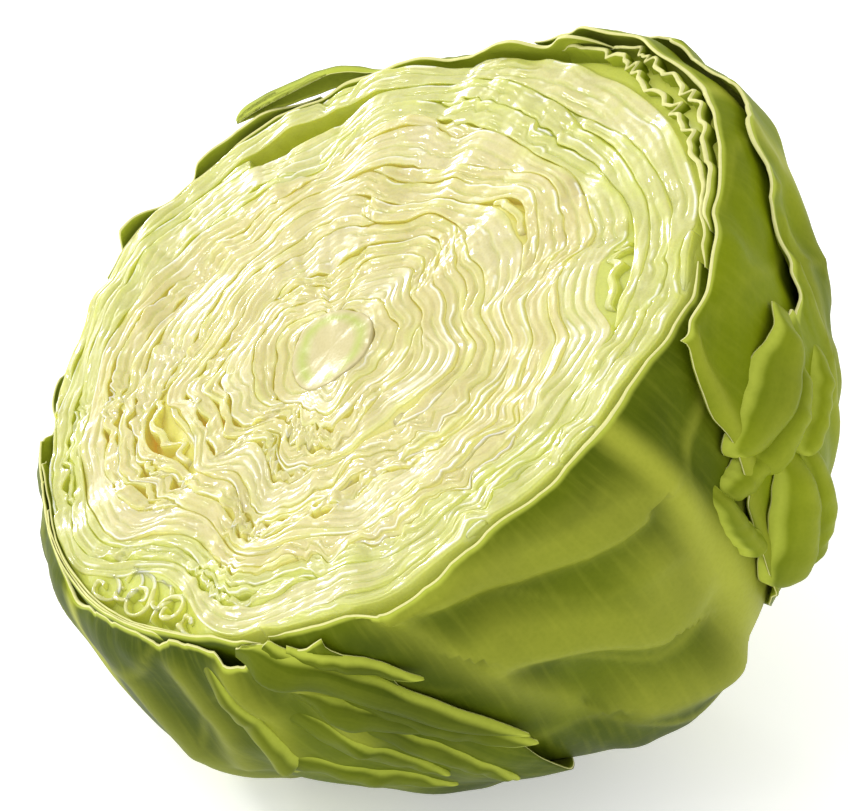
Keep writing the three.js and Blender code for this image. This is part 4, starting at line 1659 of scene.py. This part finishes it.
@dataclass(frozen=True)
class PithFinish(Finish):
    """The core's finish: pale moist pith with a green ring near its rim."""

    name: str = "moist_pith"
    middle: Colour = (0.57, 0.50, 0.235)
    ring: Colour = (0.45, 0.50, 0.10)
    stump: Colour = (0.62, 0.62, 0.34)

    SPECKS = 1300.0
    RELIEF = 0.2
    SHADE = (0.92, 0.92, 0.88)

    def look(self, tree: NodeTree) -> Look:
        """Lays out the ring on the pith and the older cut at the stump."""
        wander = tree.math("MULTIPLY", tree.noise(220.0), 0.16)
        out = tree.math("MULTIPLY", tree.math("ADD", tree.value("radius"), wander), 0.8)
        colour = tree.ramp(out, (0.5, self.middle), (0.68, self.ring), (0.84, self.middle))
        old = tree.remap(tree.value("depth"), 112.0, 118.0, (0.0, 0.9))
        colour = tree.blend(old, colour, self.stump)
        return colour, {"Roughness": 0.38, "Coat Weight": 0.3, "Coat Roughness": 0.15}


# Studio


@dataclass(frozen=True)
class Softbox:
    """A square light that faces the head: its place and side in metres, and its power in watts."""

    name: str
    place: tuple[float, float, float]
    size: float
    power: float


@dataclass
class Studio:
    """The pale floor, the soft lights and the camera."""

    camera_place: tuple[float, float, float] = (2.3, -776.8, 624.0)
    camera_pitch: float = 55.0
    lens: float = 180.0
    daylight: float = 0.86
    floor_reach: float = 6.0
    floor_glow: float = 0.35
    aim: tuple[float, float, float] = (0, 0, 0.07)
    lights: tuple[Softbox, ...] = (
        Softbox("key", (-0.75, -0.35, 1.15), 1.1, 5.5),
        Softbox("edge", (-0.9, 1.35, 0.22), 0.25, 9.0),
        Softbox("glint", (-1.1, 0.15, 0.95), 0.22, 4.0),
        Softbox("fill", (0.9, -1.0, 0.7), 1.4, 0.8),
    )

    def build(self) -> None:
        """Makes the floor, the lights and the camera."""
        self.floor()
        for light in self.lights:
            self.light(light)
        world = bpy.data.worlds.new("studio")
        world.use_nodes = True
        background = world.node_tree.nodes["Background"]
        background.inputs["Color"].default_value = (1, 1, 1, 1)
        background.inputs["Strength"].default_value = self.daylight
        bpy.context.scene.world = world
        bpy.context.scene.view_settings.view_transform = "Standard"
        self.camera()

    def floor(self) -> None:
        """A wide pale plane at floor height."""
        mesh = bpy.data.meshes.new("floor")
        far = self.floor_reach
        corners = [(-far, -far, 0), (far, -far, 0), (far, far, 0), (-far, far, 0)]
        mesh.from_pydata(corners, [], [(0, 1, 2, 3)])
        floor = link("floor", mesh)
        material = bpy.data.materials.new("pale_floor")
        material.use_nodes = True
        shader = material.node_tree.nodes["Principled BSDF"]
        shader.inputs["Base Color"].default_value = (0.97, 0.97, 0.97, 1)
        shader.inputs["Roughness"].default_value = 0.8
        shader.inputs["Emission Color"].default_value = (1, 1, 1, 1)
        shader.inputs["Emission Strength"].default_value = self.floor_glow
        mesh.materials.append(material)

    def light(self, box: Softbox) -> None:
        """Stands up a softbox, turned to the head."""
        data = bpy.data.lights.new(box.name, "AREA")
        data.size = box.size
        data.energy = box.power
        lamp = link(box.name, data)
        lamp.location = box.place
        towards = -np.array(box.place) + np.array(self.aim)
        lamp.rotation_euler = Vector(towards).to_track_quat("-Z", "Y").to_euler()

    def camera(self) -> None:
        """The camera at the photograph's viewing angle."""
        data = bpy.data.cameras.new("camera")
        data.lens = self.lens
        data.sensor_width = 36.0
        data.clip_end = 20.0
        camera = link("camera", data)
        camera.location = tuple(METRES * x for x in self.camera_place)
        camera.rotation_euler = (math.radians(self.camera_pitch), 0, 0)
        bpy.context.scene.camera = camera


OUTER_FLESH = LeafFinish(
    "outer_flesh", (0.56, 0.555, 0.18), (0.61, 0.57, 0.24), (0.58, 0.61, 0.13), (0.55, 0.58, 0.07)
)
LIME = WrapperFinish("waxy_lime")
# Painted shade: a darker copy of the lime finish, for the low wrapper leaves that lie in shade near the
# floor.
LIME_PAINTED_SHADE = WrapperFinish("waxy_lime_painted_shade", (0.098, 0.13, 0.002), (0.046, 0.068, 0.001))
SHADED_WRAPPERS = {0, 5}


def main() -> None:
    """Builds the studio and the cabbage."""
    logging.basicConfig(level=logging.INFO, format="%(name)s: %(message)s")
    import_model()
    Studio().build()
    form = HeadForm()
    grain = moist_grain()
    Core(form).build(PithFinish().material(grain))
    flesh = (
        (5, Slot.HEART, LeafFinish("heart_flesh", (0.60, 0.53, 0.21), (0.62, 0.56, 0.275))),
        (11, Slot.HEAD, LeafFinish("head_flesh", (0.61, 0.54, 0.22), (0.63, 0.57, 0.275))),
        (form.leaves, Slot.OUTER, OUTER_FLESH),
    )
    first = 0
    for last, slot, finish in flesh:
        material = finish.material(grain)
        for k in range(first, last):
            PackedLeaf(form, k).build(material, slot)
        first = last
    lime, lime_painted_shade = (finish.material(grain) for finish in (LIME, LIME_PAINTED_SHADE))
    for i in range(len(form.wrappers)):
        WrapperLeaf(form, i).build(lime_painted_shade if i in SHADED_WRAPPERS else lime)
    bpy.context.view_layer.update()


if __name__ == "__main__":
    main()
